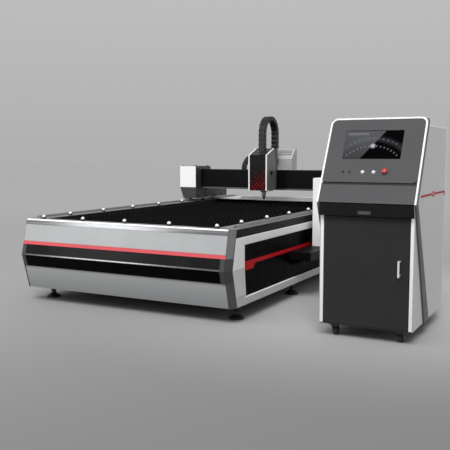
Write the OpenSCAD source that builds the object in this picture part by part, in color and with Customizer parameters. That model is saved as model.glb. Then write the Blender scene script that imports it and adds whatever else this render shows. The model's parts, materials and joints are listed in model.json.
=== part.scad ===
// Fiber laser cutting machine: open bed with toothed slats, travelling gantry with
// a cutting head, and a free-standing control console beside the bed.
// X runs along the front, Y from the front to the rear, Z up from the floor.

/* [Bed] */
// Overall width of the bed
bed_w = 2400; // [2200:10:2800]
// Overall length of the bed, from the front crease to the rear panel
bed_len = 4690; // [4400:10:5400]
// Height of the rim above the floor
rim_z = 850; // [830:5:900]
// Height of the bed's underside above the floor
underside_z = 150; // [130:2:170]
// Width of each side rim
rim_w = 200; // [190:5:230]
// Depth of the front rim
front_rim_d = 190; // [170:5:220]
// Length of the closed deck behind the cutting area
rear_deck = 790; // [760:10:1000]
// Thickness of the rim plates
rim_t = 7; // [4:1:10]

/* [Front] */
// Height of the crease across the front
crease_z = 493; // [460:1:520]
// Setback of the front's top edge behind the crease
top_lean = 86; // [60:1:100]
// Setback of the front's bottom edge behind the crease
low_lean = 94; // [60:1:100]
// Height of the bright trim at the top
trim_h = 50; // [40:1:70]
// Lower edge of the red strip
red_z = 600; // [580:1:620]
// Height of the red strip
red_h = 32; // [20:1:40]
// Lower edge of the black band
band_z = 380; // [360:1:400]
// Width of the corner chamfer across the front
chamfer_x = 46; // [30:1:60]
// Depth of the corner chamfer along the side
chamfer_y = 56; // [40:1:70]
// Width of the grey facets at the ends of the black band
band_end_w = 45; // [30:1:60]
// Thickness of the front panels
front_t = 12; // [8:1:14]
// How far the lower panel stands behind the band
low_step = 10; // [6:1:12]

/* [Sides] */
// Height of the dark strip under the rim
strip_h = 76; // [60:1:90]
// Height of the side frame's top bar
top_bar_h = 73; // [60:1:90]
// Height of the side frame's bottom bar
low_bar_h = 74; // [60:1:90]
// Front end of the side panel opening
opening_y = 320; // [290:5:360]
// Width of the side frame's rear bar
rear_bar_w = 190; // [150:5:220]
// Depth of the side frames
frame_d = 20; // [14:1:24]
// Thickness of the black panels
panel_t = 6; // [4:1:8]
// Top edge of the red side stripe
stripe_z = 540; // [530:1:550]
// Height of the red side stripe
stripe_h = 38; // [30:1:45]
// Height of the stripe's wide front end
flag_h = 82; // [70:1:95]
// Length of the stripe's wide front end
flag_len = 250; // [200:5:300]

/* [Frame and feet] */
// Width of the frame tubes
tube_w = 130; // [110:2:140]
// Height of the top tubes
top_tube_h = 200; // [160:2:210]
// Height of the bottom tubes
low_tube_h = 130; // [110:2:140]
// Wall of the frame tubes
tube_wall = 10; // [6:1:14]
// Distance from the front crease to the first pair of feet
foot_y = 380; // [360:5:420]
// Number of feet along each side
foot_count = 4; // [3:1:5]
// Diameter of a foot's pad
foot_d = 140; // [110:2:160]

/* [Cutting table] */
// Distance between slats
slat_pitch = 100; // [80:5:140]
// Thickness of a slat
slat_t = 4; // [3:0.5:6]
// Height of a slat
slat_h = 120; // [100:2:130]
// Drop from the rim to the slat tips
slat_drop = 30; // [20:1:34]
// Distance between slat teeth
tooth_pitch = 50; // [40:1:80]
// Height of the slat teeth
tooth_h = 22; // [15:1:30]
// Depth of the comb slots that hold the slats
slot_d = 40; // [30:1:50]
// Diameter of the loading balls
ball_d = 36; // [30:1:38]
// Number of loading balls along each side
side_balls = 6; // [4:1:8]
// Number of loading balls along the front
front_balls = 5; // [3:1:7]

/* [Gantry] */
// Distance from the rear panel to the beam's front face
gantry_back = 1420; // [1400:10:1700]
// Height of the beam's underside above the rim
beam_lift = 180; // [170:2:200]
// Depth and height of the beam
beam_s = 250; // [220:2:260]
// Wall of the beam
beam_wall = 10; // [6:1:14]
// Length of each end cap along the beam
cap_w = 255; // [245:1:270]
// Depth of the end caps
cap_d = 420; // [400:2:440]
// How far the end caps stand in front of the beam
cap_front = 140; // [120:2:160]
// Height of the end caps
cap_h = 277; // [260:1:290]
// Length of the saddles
saddle_len = 910; // [860:5:960]
// Height of the saddle's underside above the rim
saddle_lift = 45; // [40:1:50]
// Taper of the saddle's outer face
saddle_taper = 50; // [30:1:60]

/* [Cutting head] */
// Sideways place of the head along the beam, from the bed's centre
head_x = 76; // [0:1:100]
// Width of the head cover
head_w = 263; // [250:1:280]
// Height of the head cover's front
head_h = 459; // [440:1:480]
// Rise of the head cover's sloping top
head_rise = 87; // [70:1:95]
// Depth of the head cover's sloping top
head_slope_d = 221; // [200:1:230]
// Width of the white edge trims
head_trim_w = 19; // [14:1:22]
// Height of the nozzle tip above the rim
nozzle_lift = 55; // [50:1:60]
// Diameter of the cutting head's body
body_d = 100; // [90:1:104]

/* [Cable chains] */
// Distance between chain links
link_pitch = 60; // [58:1:70]
// Height of a chain link
link_h = 52; // [44:1:54]
// Width of the head's chain
chain_w = 90; // [80:1:94]
// Bend radius of the head's chain
loop_r = 200; // [190:1:210]
// Bend radius of the beam's chain
bend_r = 205; // [195:1:215]

/* [Console] */
// Gap between the bed and the console
console_gap = 760; // [700:10:1200]
// Width of the console body
console_w = 770; // [740:2:800]
// Distance from the bed's crease line to the console door
door_y = 165; // [150:1:180]
// Depth of the console body
console_d = 1140; // [1080:5:1200]
// Height of the console body's top
console_top = 1734; // [1700:2:1760]
// Height of the console's base above the floor
console_base = 112; // [108:1:120]
// Extra width of the creased side frames, each side
flare = 15; // [10:1:20]
// Height of the console's nose
nose_z = 1117; // [1112:1:1130]
// Distance of the nose in front of the door
nose_out = 55; // [45:1:65]
// Lean of the control panel from upright, degrees
panel_lean = 28; // [24:0.5:30]
// Length of the control panel along its lean
panel_len = 770; // [760:1:790]
// Height of the gap below the control panel's upper plate, along its lean
panel_gap = 15; // [10:1:20]
// Thickness of the console's sheets
sheet_t = 5; // [3:1:6]
// Width of the white posts
post_w = 27; // [22:1:34]
// Thickness of the door
door_t = 20; // [16:1:24]
// Width of the screen
screen_w = 477; // [440:1:500]
// Height of the screen
screen_h = 262; // [240:1:280]
// Diameter of the start and stop buttons
button_d = 20; // [16:0.5:22]
// Diameter of the emergency button's head
mushroom_d = 40; // [34:0.5:44]
// Diameter of the caster wheels
wheel_d = 74; // [66:1:76]
// Width of the caster wheels
wheel_w = 40; // [36:1:44]

/* [Side cabinet] */
// Distance from the front crease to the side shelf
shelf_y = 1365; // [1300:5:1450]
// Length of the side shelf
shelf_len = 1335; // [1200:5:1400]
// Height of the side shelf's beam
shelf_h = 85; // [70:1:100]
// How far the side shelf reaches out from the bed
shelf_out = 225; // [200:1:250]
// Width of the cabinet along the bed
cabinet_w = 520; // [450:5:600]
// Height of the cabinet
cabinet_h = 738; // [700:1:780]
// Depth of the cabinet
cabinet_d = 170; // [140:1:180]

/* [Hidden] */
$fn = 48;
half_w = bed_w / 2;
inner_x = half_w - rim_w;
pit_end = bed_len - rear_deck;
face_x = half_w - chamfer_x;
fit = 0.3;

// Front profile: setback of the face behind the crease at a height
function front_y(z) = z > crease_z
    ? (z - crease_z) / (rim_z - crease_z) * top_lean
    : (crease_z - z) / (crease_z - underside_z) * low_lean;
function with_crease(z0, z1) = z0 < crease_z && crease_z < z1 ? [z0, crease_z, z1] : [z0, z1];
function backward(list) = [for (i = [len(list) - 1 : -1 : 0]) list[i]];

// Side frame
strip_top = rim_z - rim_t;
frame_top = strip_top - strip_h;
opening_top = frame_top - top_bar_h;
opening_low = underside_z + low_bar_h;
opening_lean = 30;
stripe_t = 2;
shelf_top = stripe_z - 33;
panel_x = half_w - frame_d;
strip_recess = 8;
post_back = 22;
corner_y = front_y(rim_z) + chamfer_y + post_back + fit;

// Welded frame
side_gap = 24;
end_gap = 74;
tube_x = panel_x - panel_t - side_gap - tube_w;
tube_y0 = low_lean + front_t + low_step + end_gap;
tube_y1 = bed_len - frame_d - panel_t - end_gap;
end_beam_d = 70;
top_tube_z = strip_top - top_tube_h;
foot_pitch = (bed_len - 2 * foot_y) / (foot_count - 1);
foot_ys = [for (i = [0 : foot_count - 1]) foot_y + i * foot_pitch];
post_l = 140;
cross_h = 90;
comb_z = top_tube_z - 3;
cross_z = comb_z - cross_h;
low_cross_z = underside_z + low_tube_h;

// Cutting table
tip_z = rim_z - slat_drop;
slat_z = tip_z - slat_h;
slat_half = inner_x - 25;
slat_first = front_rim_d + 70;
slat_count = floor((pit_end - 70 - slat_first) / slat_pitch) + 1;
slat_ys = [for (i = [0 : slat_count - 1]) slat_first + i * slat_pitch];
ball_wall = 4;
comb_t = 8;
comb_top = slat_z + slot_d;
comb_x = slat_half - 60;
tray_top = cross_z - 6;
tray_t = 4;
tray_half = 320;
tray_edge = tube_x - 6;

// Gantry
beam_y = bed_len - gantry_back;
beam_z = rim_z + beam_lift;
beam_top = beam_z + beam_s;
beam_rear = beam_y + beam_s;
cap_x = half_w - cap_w;
cap_y = beam_y - cap_front;
cap_z = beam_z + 15;
cap_wall = 5;
cap_top_t = 12;
saddle_z = rim_z + saddle_lift;
rail_w = 24;
rail_h = 16;
rail_x = half_w - 80;
block_w = 70;
block_l = 110;
block_z = rim_z + 5;
top_rail_y = beam_y + 30;
top_rail_h = 14;
lip_h = 20;
lip_d = 14;

// Cutting head and carriage
head_y = beam_y - 320;
head_z = beam_z;
plate_gap = 8;
plate_t = 30;
plate_y = beam_y - plate_gap - plate_t;
cover_t = 4;
cover_top = head_z + head_h;
slope = atan(head_rise / head_slope_d);
trim_d = 10;
axis_y = plate_y - 82;
tip_z0 = rim_z + nozzle_lift;
arm_z = beam_top + 90;
arm_t = 30;
tray_w = 80;
chain_y = beam_y + cap_d - cap_front + 42;
chain_depth = 60;
arm_end = chain_y + chain_depth / 2 + 18;
arm_left = head_x - 100;
arm_right = head_x - 16;
chain_floor = beam_z + 28;
run_z = chain_floor + fit + link_h / 2;
upper_run_z = run_z + 2 * bend_r - link_h / 2 - fit;
bend_x = head_x - 305;
fixed_run = 760;
moving_run = arm_right - bend_x;
loop_front_y = head_y + 150;
loop_base = cover_top - 56;
loop_leg = beam_top + 490 - loop_base;
loop_rear_z = beam_top + 287;
loop_rear_y = loop_front_y + 2 * loop_r;
loop_far = loop_leg - (loop_rear_z - loop_base);
head_up = 50;
link_t = 6;
cable_d = 16;
cable_pitch = 18;
head_top_z = loop_base - fit;

// Console
console_x = half_w + console_gap + console_w / 2;
body_half = console_w / 2;
frame_half = body_half + flare;
console_rear = door_y + console_d;
nose_y = door_y - nose_out;
heel_y = door_y + 365;
strip_w = 160;
ring_w = 14;
ring_d = 12;
ring_r = 44;
arm_d = 50;
panel_gap_s = 0.218 * panel_len;
plate_s = panel_gap_s + panel_gap;
screen_u = -13;
screen_edge = 117;
screen_s = panel_len - screen_edge - screen_h;
button_s = (plate_s + screen_s) / 2 - 14;
button_us = [-60, 30];
mushroom_u = 120;
socket_us = [-224, -169];
bezel_d = button_d + 8;
button_in = 14;
drawer_z = 1014;
drawer_h = nose_z - 7 - drawer_z;
drawer_y = nose_y + 6;
drawer_l = 440;
drawer_side = 34;
door_gap = 5;
door_x0 = -body_half + sheet_t + fit + post_w + door_gap;
door_x1 = body_half - sheet_t - fit - post_w - door_gap;
base_t = 6;
door_z0 = console_base + base_t + 4;
header_z = drawer_z - 8;
header_t = 6;
door_z1 = header_z - 4;
pivot_r = 5;
pin_fit = 0.05;
pivot_x = door_x0 + door_t / 2;
pivot_y = door_y + door_t / 2;
handle_z = [546, 676];
handle_x = door_x1 - 73;
handle_out = 50;
handle_r = 8;
caster_x = body_half - 115;
caster_ys = [door_y + 80, console_rear - 430];
caster_trail = 28;
wheel_r = wheel_d / 2;
axle_r = 5;
caster_plate_t = 12;
crown_z = console_base - caster_plate_t - fit;

// The origin lies on the floor under the middle of the whole set
origin_x = (console_x + frame_half - half_w) / 2;
origin_y = bed_len / 2;

// Placing and extruding helpers
module placed() translate([-origin_x, -origin_y, 0]) children();
module at_console() placed() translate([console_x, 0, 0]) children();
module both_sides() {
    children();
    mirror([1, 0, 0]) children();
}
// An outline drawn in Y and Z, extruded along X
module along_x(x0, x1) translate([x0, 0, 0]) rotate([90, 0, 90]) linear_extrude(x1 - x0) children();
// An outline drawn in X and Z, extruded along Y
module along_y(y0, y1) translate([0, y1, 0]) rotate([90, 0, 0]) linear_extrude(y1 - y0) children();
module block(low, high) translate(low) cube(high - low);
// A closed skin through a stack of equal outlines
module loft(rings) {
    n = len(rings[0]);
    top = (len(rings) - 1) * n;
    sides = [for (k = [0 : len(rings) - 2]) for (i = [0 : n - 1])
        [k * n + i, k * n + n + i, k * n + n + (i + 1) % n, k * n + (i + 1) % n]];
    ends = [[for (i = [0 : n - 1]) i], [for (i = [n - 1 : -1 : 0]) top + i]];
    polyhedron([for (ring = rings) each ring], concat(sides, ends));
}
module rounded(w, h, r) {
    translate([r, 0]) square([w - 2 * r, h]);
    translate([0, r]) square([w, h - 2 * r]);
    for (x = [r, w - r], y = [r, h - r]) translate([x, y]) circle(r);
}

// A slab that follows the creased front between two heights
module front_slab(z0, z1, half, back = 0) {
    zs = with_crease(z0, z1);
    outer = [for (z = zs) [front_y(z) + back, z]];
    inner = [for (z = backward(zs)) [front_y(z) + back + front_t, z]];
    along_x(-half, half) polygon(concat(outer, inner));
}

// Bed frame
module tube_y(x0, w, y0, y1, z0, h) difference() {
    block([x0, y0, z0], [x0 + w, y1, z0 + h]);
    block([x0 + tube_wall, y0 - 1, z0 + tube_wall], [x0 + w - tube_wall, y1 + 1, z0 + h - tube_wall]);
}
module frame_tubes() color("dimgray") placed() both_sides() {
    tube_y(tube_x, tube_w, tube_y0, tube_y1, top_tube_z, top_tube_h);
    tube_y(tube_x, tube_w, tube_y0, tube_y1, underside_z, low_tube_h);
}
module frame_posts() color("dimgray") placed() both_sides()
    for (y = foot_ys)
        block([tube_x, y - post_l / 2, low_cross_z], [tube_x + tube_w, y + post_l / 2, top_tube_z]);
module frame_cross_beams() color("dimgray") placed() {
    for (y = [tube_y0 - end_beam_d, tube_y1]) {
        block([-tube_x - tube_w, y, top_tube_z], [tube_x + tube_w, y + end_beam_d, strip_top]);
        block([-tube_x - tube_w, y, underside_z], [tube_x + tube_w, y + end_beam_d, low_cross_z]);
    }
    for (y = foot_ys) {
        block([-tube_x, y - post_l / 2, underside_z], [tube_x, y + post_l / 2, low_cross_z]);
        block([-tube_x, y - post_l / 4, cross_z], [tube_x, y + post_l / 4, comb_z]);
    }
}

// Cutting table
module slat_outline() {
    teeth = floor(2 * slat_half / tooth_pitch);
    pitch = 2 * slat_half / teeth;
    valleys = [for (i = [0 : teeth - 1]) each [
        [-slat_half + i * pitch, tip_z - tooth_h],
        [-slat_half + (i + 0.5) * pitch, tip_z]]];
    polygon(concat([[-slat_half, slat_z]], valleys, [[slat_half, tip_z - tooth_h], [slat_half, slat_z]]));
}
module cutting_slats() color("slategray") placed()
    for (y = slat_ys) along_y(y - slat_t / 2, y + slat_t / 2) slat_outline();
module slat_combs() color("dimgray") placed() {
    slot = slat_t / 2 + fit;
    slots = [for (y = slat_ys) each [
        [y - slot, comb_top], [y - slot, slat_z], [y + slot, slat_z], [y + slot, comb_top]]];
    comb_y0 = slat_ys[0] - slat_pitch / 2;
    comb_y1 = slat_ys[slat_count - 1] + slat_pitch / 2;
    outline = concat([[comb_y0, comb_z], [comb_y0, comb_top]], slots,
        [[comb_y1, comb_top], [comb_y1, comb_z]]);
    for (x = [-comb_x, 0, comb_x]) along_x(x - comb_t / 2, x + comb_t / 2) polygon(outline);
}
module scrap_trays() color("dimgray") placed() {
    y0 = tube_y0 + fit;
    y1 = pit_end;
    block([-tray_half, y0, low_cross_z], [tray_half, y1, low_cross_z + tray_t]);
    both_sides() along_y(y0, y1) polygon([
        [tray_half + fit, low_cross_z], [tray_edge, tray_top], [tray_edge, tray_top + tray_t],
        [tray_half + fit, low_cross_z + tray_t]]);
}

// Front
module front_top_trim() color("gainsboro") placed() {
    low = rim_z - trim_h;
    bevel = 14;
    along_x(-face_x, face_x) polygon([
        [front_y(low) - 3, low], [front_y(rim_z - bevel) - 3, rim_z - bevel],
        [front_y(rim_z) + bevel, rim_z], [front_rim_d, rim_z], [front_rim_d, strip_top],
        [front_y(rim_z) + bevel, strip_top], [front_y(low) + front_t, low]]);
}
module front_panels() color("darkgray") placed() {
    front_slab(red_z + red_h, rim_z - trim_h, face_x);
    front_slab(underside_z, band_z, face_x, low_step);
}
module front_band() color([0.05, 0.05, 0.06]) placed() front_slab(band_z, red_z, face_x - band_end_w);
module corner_posts() color("gray") placed() both_sides() {
    loft([for (z = [underside_z, crease_z, rim_z]) [
        [face_x, front_y(z), z], [half_w, front_y(z) + chamfer_y, z],
        [half_w, front_y(z) + chamfer_y + post_back, z], [face_x, front_y(z) + chamfer_y + post_back, z]]]);
    intersection() {
        front_slab(band_z, red_z, face_x - fit);
        block([face_x - band_end_w + fit, -1, underside_z], [half_w, front_rim_d, rim_z]);
    }
}
module red_stripes() color("crimson") placed() {
    front_slab(red_z, red_z + red_h, face_x);
    both_sides() along_x(panel_x, panel_x + stripe_t) {
        y0 = opening_y + fit;
        y1 = bed_len - rear_bar_w - fit;
        flag_z = stripe_z - flag_h;
        flag_y = y0 + opening_lean * (crease_z - flag_z) / (crease_z - opening_low);
        polygon([
            [y0, stripe_z], [y0, crease_z], [flag_y, flag_z], [y0 + flag_len - 40, flag_z],
            [y0 + flag_len, stripe_z - stripe_h], [y1, stripe_z - stripe_h], [y1, stripe_z]]);
    }
    translate([console_x, 0, 0]) both_sides() console_line();
}

// Sides and rear
module side_frames() color("silver") placed() {
    zs = [underside_z, crease_z, frame_top];
    y1 = bed_len - rear_bar_w;
    both_sides() along_x(panel_x, half_w) difference() {
        polygon(concat([for (z = zs) [front_y(z) + chamfer_y + post_back + fit, z]],
            [[bed_len, frame_top], [bed_len, underside_z]]));
        polygon([[opening_y, opening_top], [y1, opening_top], [y1, opening_low],
            [opening_y + opening_lean, opening_low], [opening_y, crease_z]]);
    }
    along_y(bed_len - frame_d, bed_len) difference() {
        translate([-panel_x + fit, underside_z]) square([2 * (panel_x - fit), frame_top - underside_z]);
        translate([-panel_x + rear_bar_w, opening_low])
            square([2 * (panel_x - rear_bar_w), opening_top - opening_low]);
    }
}
module black_panels() color([0.08, 0.08, 0.08]) placed() {
    lap = 12;
    both_sides() block([panel_x - panel_t, opening_y - lap, opening_low - lap],
        [panel_x, bed_len - rear_bar_w + lap, opening_top + lap]);
    block([-panel_x + rear_bar_w - lap, bed_len - frame_d - panel_t, opening_low - lap],
        [panel_x - rear_bar_w + lap, bed_len - frame_d, opening_top + lap]);
}
module side_strips() color([0.2, 0.2, 0.2]) placed() {
    both_sides() block([panel_x - strip_recess, corner_y, frame_top],
        [half_w - strip_recess, bed_len - strip_recess, strip_top]);
    block([-panel_x + strip_recess + fit, bed_len - frame_d - strip_recess, frame_top],
        [panel_x - strip_recess - fit, bed_len - strip_recess, strip_top]);
}
module rim_covers() color("gray") placed() {
    both_sides() translate([0, 0, strip_top]) linear_extrude(rim_t) polygon([
        [inner_x, front_rim_d + fit], [face_x + fit, front_rim_d + fit], [face_x + fit, corner_y],
        [half_w, corner_y], [half_w, bed_len], [inner_x, bed_len]]);
    block([-inner_x + fit, pit_end, strip_top], [inner_x - fit, bed_len, rim_z]);
}
module guide_rails() color("lightgray") placed() both_sides()
    block([rail_x - rail_w / 2, front_rim_d + 40, rim_z],
        [rail_x + rail_w / 2, bed_len - 40, rim_z + rail_h]);
module rear_cover() color("lightgray") placed() {
    y0 = pit_end + 50;
    along_y(y0, y0 + 240) polygon([
        [-inner_x + 300, rim_z], [-inner_x + 350, rim_z + 40], [inner_x - 130, rim_z + 40],
        [inner_x - 100, rim_z]]);
}
module levelling_feet() color([0.06, 0.06, 0.06]) placed() both_sides()
    for (y = foot_ys) translate([tube_x + tube_w / 2, y, 0]) rotate_extrude() polygon([
        [0, 0], [foot_d / 2, 0], [foot_d / 2, 14], [foot_d / 2 - 8, 22], [26, 44], [22, 70], [14, 76],
        [14, underside_z], [0, underside_z]]);
module ball_unit() {
    cup_h = ball_d / 2;
    cup_r = ball_d / 2 + ball_wall;
    seat_z = cup_h + 2;
    difference() {
        rotate_extrude() polygon([[0, 0], [cup_r, 0], [cup_r, cup_h - 5], [cup_r - 3, cup_h], [0, cup_h]]);
        translate([0, 0, seat_z]) sphere(d = ball_d + 2 * fit);
    }
    translate([0, 0, seat_z]) sphere(d = ball_d);
}
module loading_balls() color("whitesmoke") placed() {
    edge = ball_d / 2 + ball_wall + 2;
    first = 600;
    pitch = (pit_end - 440 - first) / (side_balls - 1);
    both_sides() for (i = [0 : side_balls - 1])
        translate([inner_x + edge, first + i * pitch, rim_z]) ball_unit();
    for (i = [0 : front_balls - 1])
        translate([(i / (front_balls - 1) * 2 - 1) * inner_x, front_rim_d - edge, rim_z]) ball_unit();
}
module side_shelf() color([0.13, 0.13, 0.13]) placed() {
    x0 = panel_x + stripe_t + fit;
    low = shelf_top - shelf_h;
    gusset_t = 12;
    block([x0, shelf_y, low], [half_w + shelf_out, shelf_y + shelf_len, shelf_top]);
    for (f = [0.09, 0.5, 0.91]) translate([0, shelf_y + f * shelf_len - gusset_t / 2, 0])
        along_y(0, gusset_t)
            polygon([[x0, low], [half_w + 0.67 * shelf_out, low], [x0, low - 0.85 * shelf_h]]);
}
module side_cabinet() color("white") placed() {
    x1 = half_w + shelf_out - 5;
    y0 = shelf_y + 0.37 * shelf_len;
    edge = 20;
    lid_t = 6;
    block([x1 - cabinet_d, y0, shelf_top], [x1, y0 + cabinet_w, shelf_top + cabinet_h]);
    block([x1, y0 + edge, shelf_top + edge],
        [x1 + lid_t, y0 + cabinet_w - edge, shelf_top + cabinet_h - edge]);
}

// Gantry
module beam() color([0.1, 0.1, 0.1]) placed() difference() {
    block([-cap_x, beam_y, beam_z], [cap_x, beam_rear, beam_top]);
    block([-cap_x - 1, beam_y + beam_wall, beam_z + beam_wall],
        [cap_x + 1, beam_rear - beam_wall, beam_top - beam_wall]);
}
module beam_guides() color("gray") placed() {
    block([-cap_x, top_rail_y, beam_top], [cap_x, top_rail_y + rail_w, beam_top + top_rail_h]);
    block([-cap_x, beam_y - lip_d, beam_z], [cap_x, beam_y, beam_z + lip_h]);
}
module end_caps() placed() both_sides() {
    lip = 10;
    top = cap_z + cap_h;
    color("white") {
        difference() {
            block([cap_x, cap_y, cap_z], [half_w, cap_y + cap_d, top]);
            block([cap_x + cap_wall, cap_y + cap_wall, cap_z - 1],
                [half_w - cap_wall, cap_y + cap_d - cap_wall, top - cap_wall]);
        }
        block([cap_x, cap_y, top], [half_w, cap_y + lip, top + cap_top_t]);
    }
    color([0.1, 0.1, 0.1])
        block([cap_x + 6, cap_y + lip, top], [half_w - 6, cap_y + cap_d - 6, top + cap_top_t]);
}
module saddles() color("dimgray") placed() both_sides() along_y(cap_y, cap_y + saddle_len) polygon([
    [cap_x, cap_z], [half_w, cap_z], [half_w - saddle_taper, saddle_z], [cap_x, saddle_z]]);
module bearing_blocks() color("lightgray") placed() both_sides()
    for (y = [cap_y + 40, cap_y + saddle_len - 40 - block_l]) along_y(y, y + block_l) polygon([
        [rail_x - block_w / 2, block_z], [rail_x - block_w / 2, saddle_z], [rail_x + block_w / 2, saddle_z],
        [rail_x + block_w / 2, block_z], [rail_x + rail_w / 2 + fit, block_z],
        [rail_x + rail_w / 2 + fit, rim_z + rail_h + fit], [rail_x - rail_w / 2 - fit, rim_z + rail_h + fit],
        [rail_x - rail_w / 2 - fit, block_z]]);
module drive_motors() color([0.15, 0.15, 0.15]) placed() both_sides()
    translate([cap_x + cap_w / 2, cap_y + cap_d / 2, cap_z]) {
        translate([-75, -75, 0]) cube([150, 150, 16]);
        cylinder(h = 190, d = 120);
        translate([0, 0, 190]) cylinder(h = 40, d = 90);
    }
module chain_tray() color([0.12, 0.12, 0.12]) placed() {
    rear = chain_y + tray_w / 2;
    half = cap_x - 5;
    floor_t = 12;
    lip_w = 4;
    block([-half, beam_rear, chain_floor - floor_t], [half, rear, chain_floor]);
    block([-half, rear - lip_w, chain_floor], [half, rear, chain_floor + 20]);
}

// A chain of links round a bend, drawn in its own plane, with its width across that plane.
// It starts at the left leg's foot, climbs, bends over to the right and comes down.
function on_loop(s, leg, r) = let (arc = (s - leg) * 180 / (PI * r))
    s < leg ? [-r, s]
    : arc < 180 ? [-r * cos(arc), leg + r * sin(arc)]
    : [r, leg - (s - leg - PI * r)];
// Each link is cranked: its outer half reaches forward over the next link's inner half
module link_half(half, rib) {
    translate([-rib, -link_h / 2]) square([half + rib, link_h]);
    translate([half, 0]) circle(d = link_h);
}
module chain_link(half, width) {
    rib = (link_pitch - link_h) / 4;
    inner_z = link_t + fit;
    bar = 6;
    inner_bar = [-link_h / 2, 0.3 * link_pitch];
    outer_bar = [link_h / 2 - bar, 0.48 * link_pitch];
    for (side = [0, 1]) translate([0, 0, side * width]) mirror([0, 0, side]) {
        linear_extrude(link_t) link_half(half, rib);
        translate([0, 0, inner_z]) linear_extrude(link_t) mirror([1, 0]) link_half(half, rib);
        translate([-rib, -link_h / 2, 0]) cube([2 * rib, link_h, inner_z + link_t]);
    }
    for (place = [inner_bar, outer_bar]) {
        y = place[0];
        reach = place[1];
        translate([-reach, y, 2 * inner_z]) cube([2 * reach, bar, width - 4 * inner_z]);
        translate([-reach, y, inner_z + 1]) cube([reach + rib, bar, width - 2 * inner_z - 2]);
    }
}
// Only the links between two places along the chain are drawn
module chain_loop(leg, far_leg, r, width, start, end) {
    length = leg + PI * r + far_leg;
    count = round((length - link_h) / link_pitch);
    step = (length - link_h) / count;
    for (i = [0 : count - 1]) {
        place = link_h / 2 + i * step;
        low = on_loop(place, leg, r);
        run = on_loop(place + step, leg, r) - low;
        mid = low + run / 2;
        drawn = place + step / 2 > start && place + step / 2 < end;
        if (drawn) translate([mid[0], mid[1], 0]) rotate(atan2(run[1], run[0]))
            chain_link(norm(run) / 2, width);
    }
}
// A cable that lies inside a chain, from a place on its first leg to its far end
module chain_cable(leg, far_leg, r, start, z) translate([0, 0, z]) {
    translate([-r, start, 0]) rotate([-90, 0, 0]) cylinder(h = leg - start, d = cable_d);
    translate([0, leg, 0]) rotate_extrude(angle = 180) translate([r, 0]) circle(d = cable_d);
    translate([r, leg - far_leg, 0]) rotate([-90, 0, 0]) cylinder(h = far_leg, d = cable_d);
}

// Carriage and cutting head
module carriage() color("dimgray") placed() {
    low = beam_z + lip_h + 10;
    rear = plate_y + plate_t;
    saddle_rear = beam_y + 90;
    arm_top = arm_z + arm_t;
    along_x(head_x - 100, head_x + 100) difference() {
        polygon([
            [plate_y, low], [rear, low], [rear, beam_top + 4], [saddle_rear, beam_top + 4],
            [saddle_rear, arm_top], [rear, arm_top], [rear, arm_z + 70], [plate_y, arm_z + 70]]);
        translate([top_rail_y - fit, beam_top]) square([rail_w + 2 * fit, top_rail_h + fit]);
    }
    along_x(arm_left, arm_right) polygon([
        [saddle_rear, arm_z], [arm_end, arm_z], [arm_end, upper_run_z],
        [chain_y - chain_depth / 2, upper_run_z], [chain_y - chain_depth / 2, arm_top],
        [saddle_rear, arm_top]]);
    block([head_x - head_w / 2, plate_y, low], [head_x + head_w / 2, rear, arm_z + 70]);
    block([head_x - chain_w / 2, loop_rear_y - link_h / 2, arm_top],
        [head_x + chain_w / 2 - 16, loop_rear_y + link_h / 2, loop_rear_z - fit]);
}
module carriage_cover() color("lightgray") placed() {
    left = head_x - 228;
    right = head_x + 188;
    depth = 180;
    low = beam_top + 10;
    fold = low + 143;
    top = low + 279;
    run = 120;
    outline = [[arm_end, low], [arm_end, fold], [arm_end + run, top], [arm_end + depth, top],
        [arm_end + depth, low]];
    inside = [
        [arm_end + cover_t, low - 1], [arm_end + cover_t, fold - cover_t], [arm_end + run, top - cover_t],
        [arm_end + depth - cover_t, top - cover_t], [arm_end + depth - cover_t, low - 1]];
    vent_rows = 3;
    vent_cols = 12;
    vent_edge = 30;
    vent_w = (right - left - 2 * vent_edge) / vent_cols;
    face = sqrt(run * run + (top - fold) * (top - fold));
    difference() {
        along_x(left, right) polygon(outline);
        along_x(left + cover_t, right - cover_t) polygon(inside);
        translate([left + vent_edge, arm_end, fold]) rotate([atan((top - fold) / run), 0, 0])
            for (i = [0 : vent_cols - 1], k = [0 : vent_rows - 1])
                translate([(i + 0.2) * vent_w, face * (0.4 + 0.18 * k), -20])
                    cube([vent_w * 0.6, face * 0.1, 40]);
    }
}
module at_head_loop() placed() translate([head_x - chain_w / 2, loop_front_y + loop_r, loop_base])
    rotate([90, 0, 90]) children();
module cable_chains() color([0.08, 0.08, 0.08]) {
    at_head_loop() {
        chain_loop(loop_leg, loop_far, loop_r, chain_w, loop_leg, loop_leg + PI * loop_r + loop_far);
        for (z = [-1, 0, 1])
            chain_cable(loop_leg, loop_far + fit, loop_r, head_up + 2, chain_w / 2 + z * cable_pitch);
    }
    placed() translate([bend_x, chain_y + chain_depth / 2, run_z + bend_r]) rotate([90, -90, 0])
        translate([0, -fixed_run, 0])
            chain_loop(fixed_run, moving_run, bend_r, chain_depth, 0, fixed_run + PI * bend_r + moving_run);
}
module head_chain() color([0.08, 0.08, 0.08]) at_head_loop()
    chain_loop(loop_leg, loop_far, loop_r, chain_w, 0, loop_leg);
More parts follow.
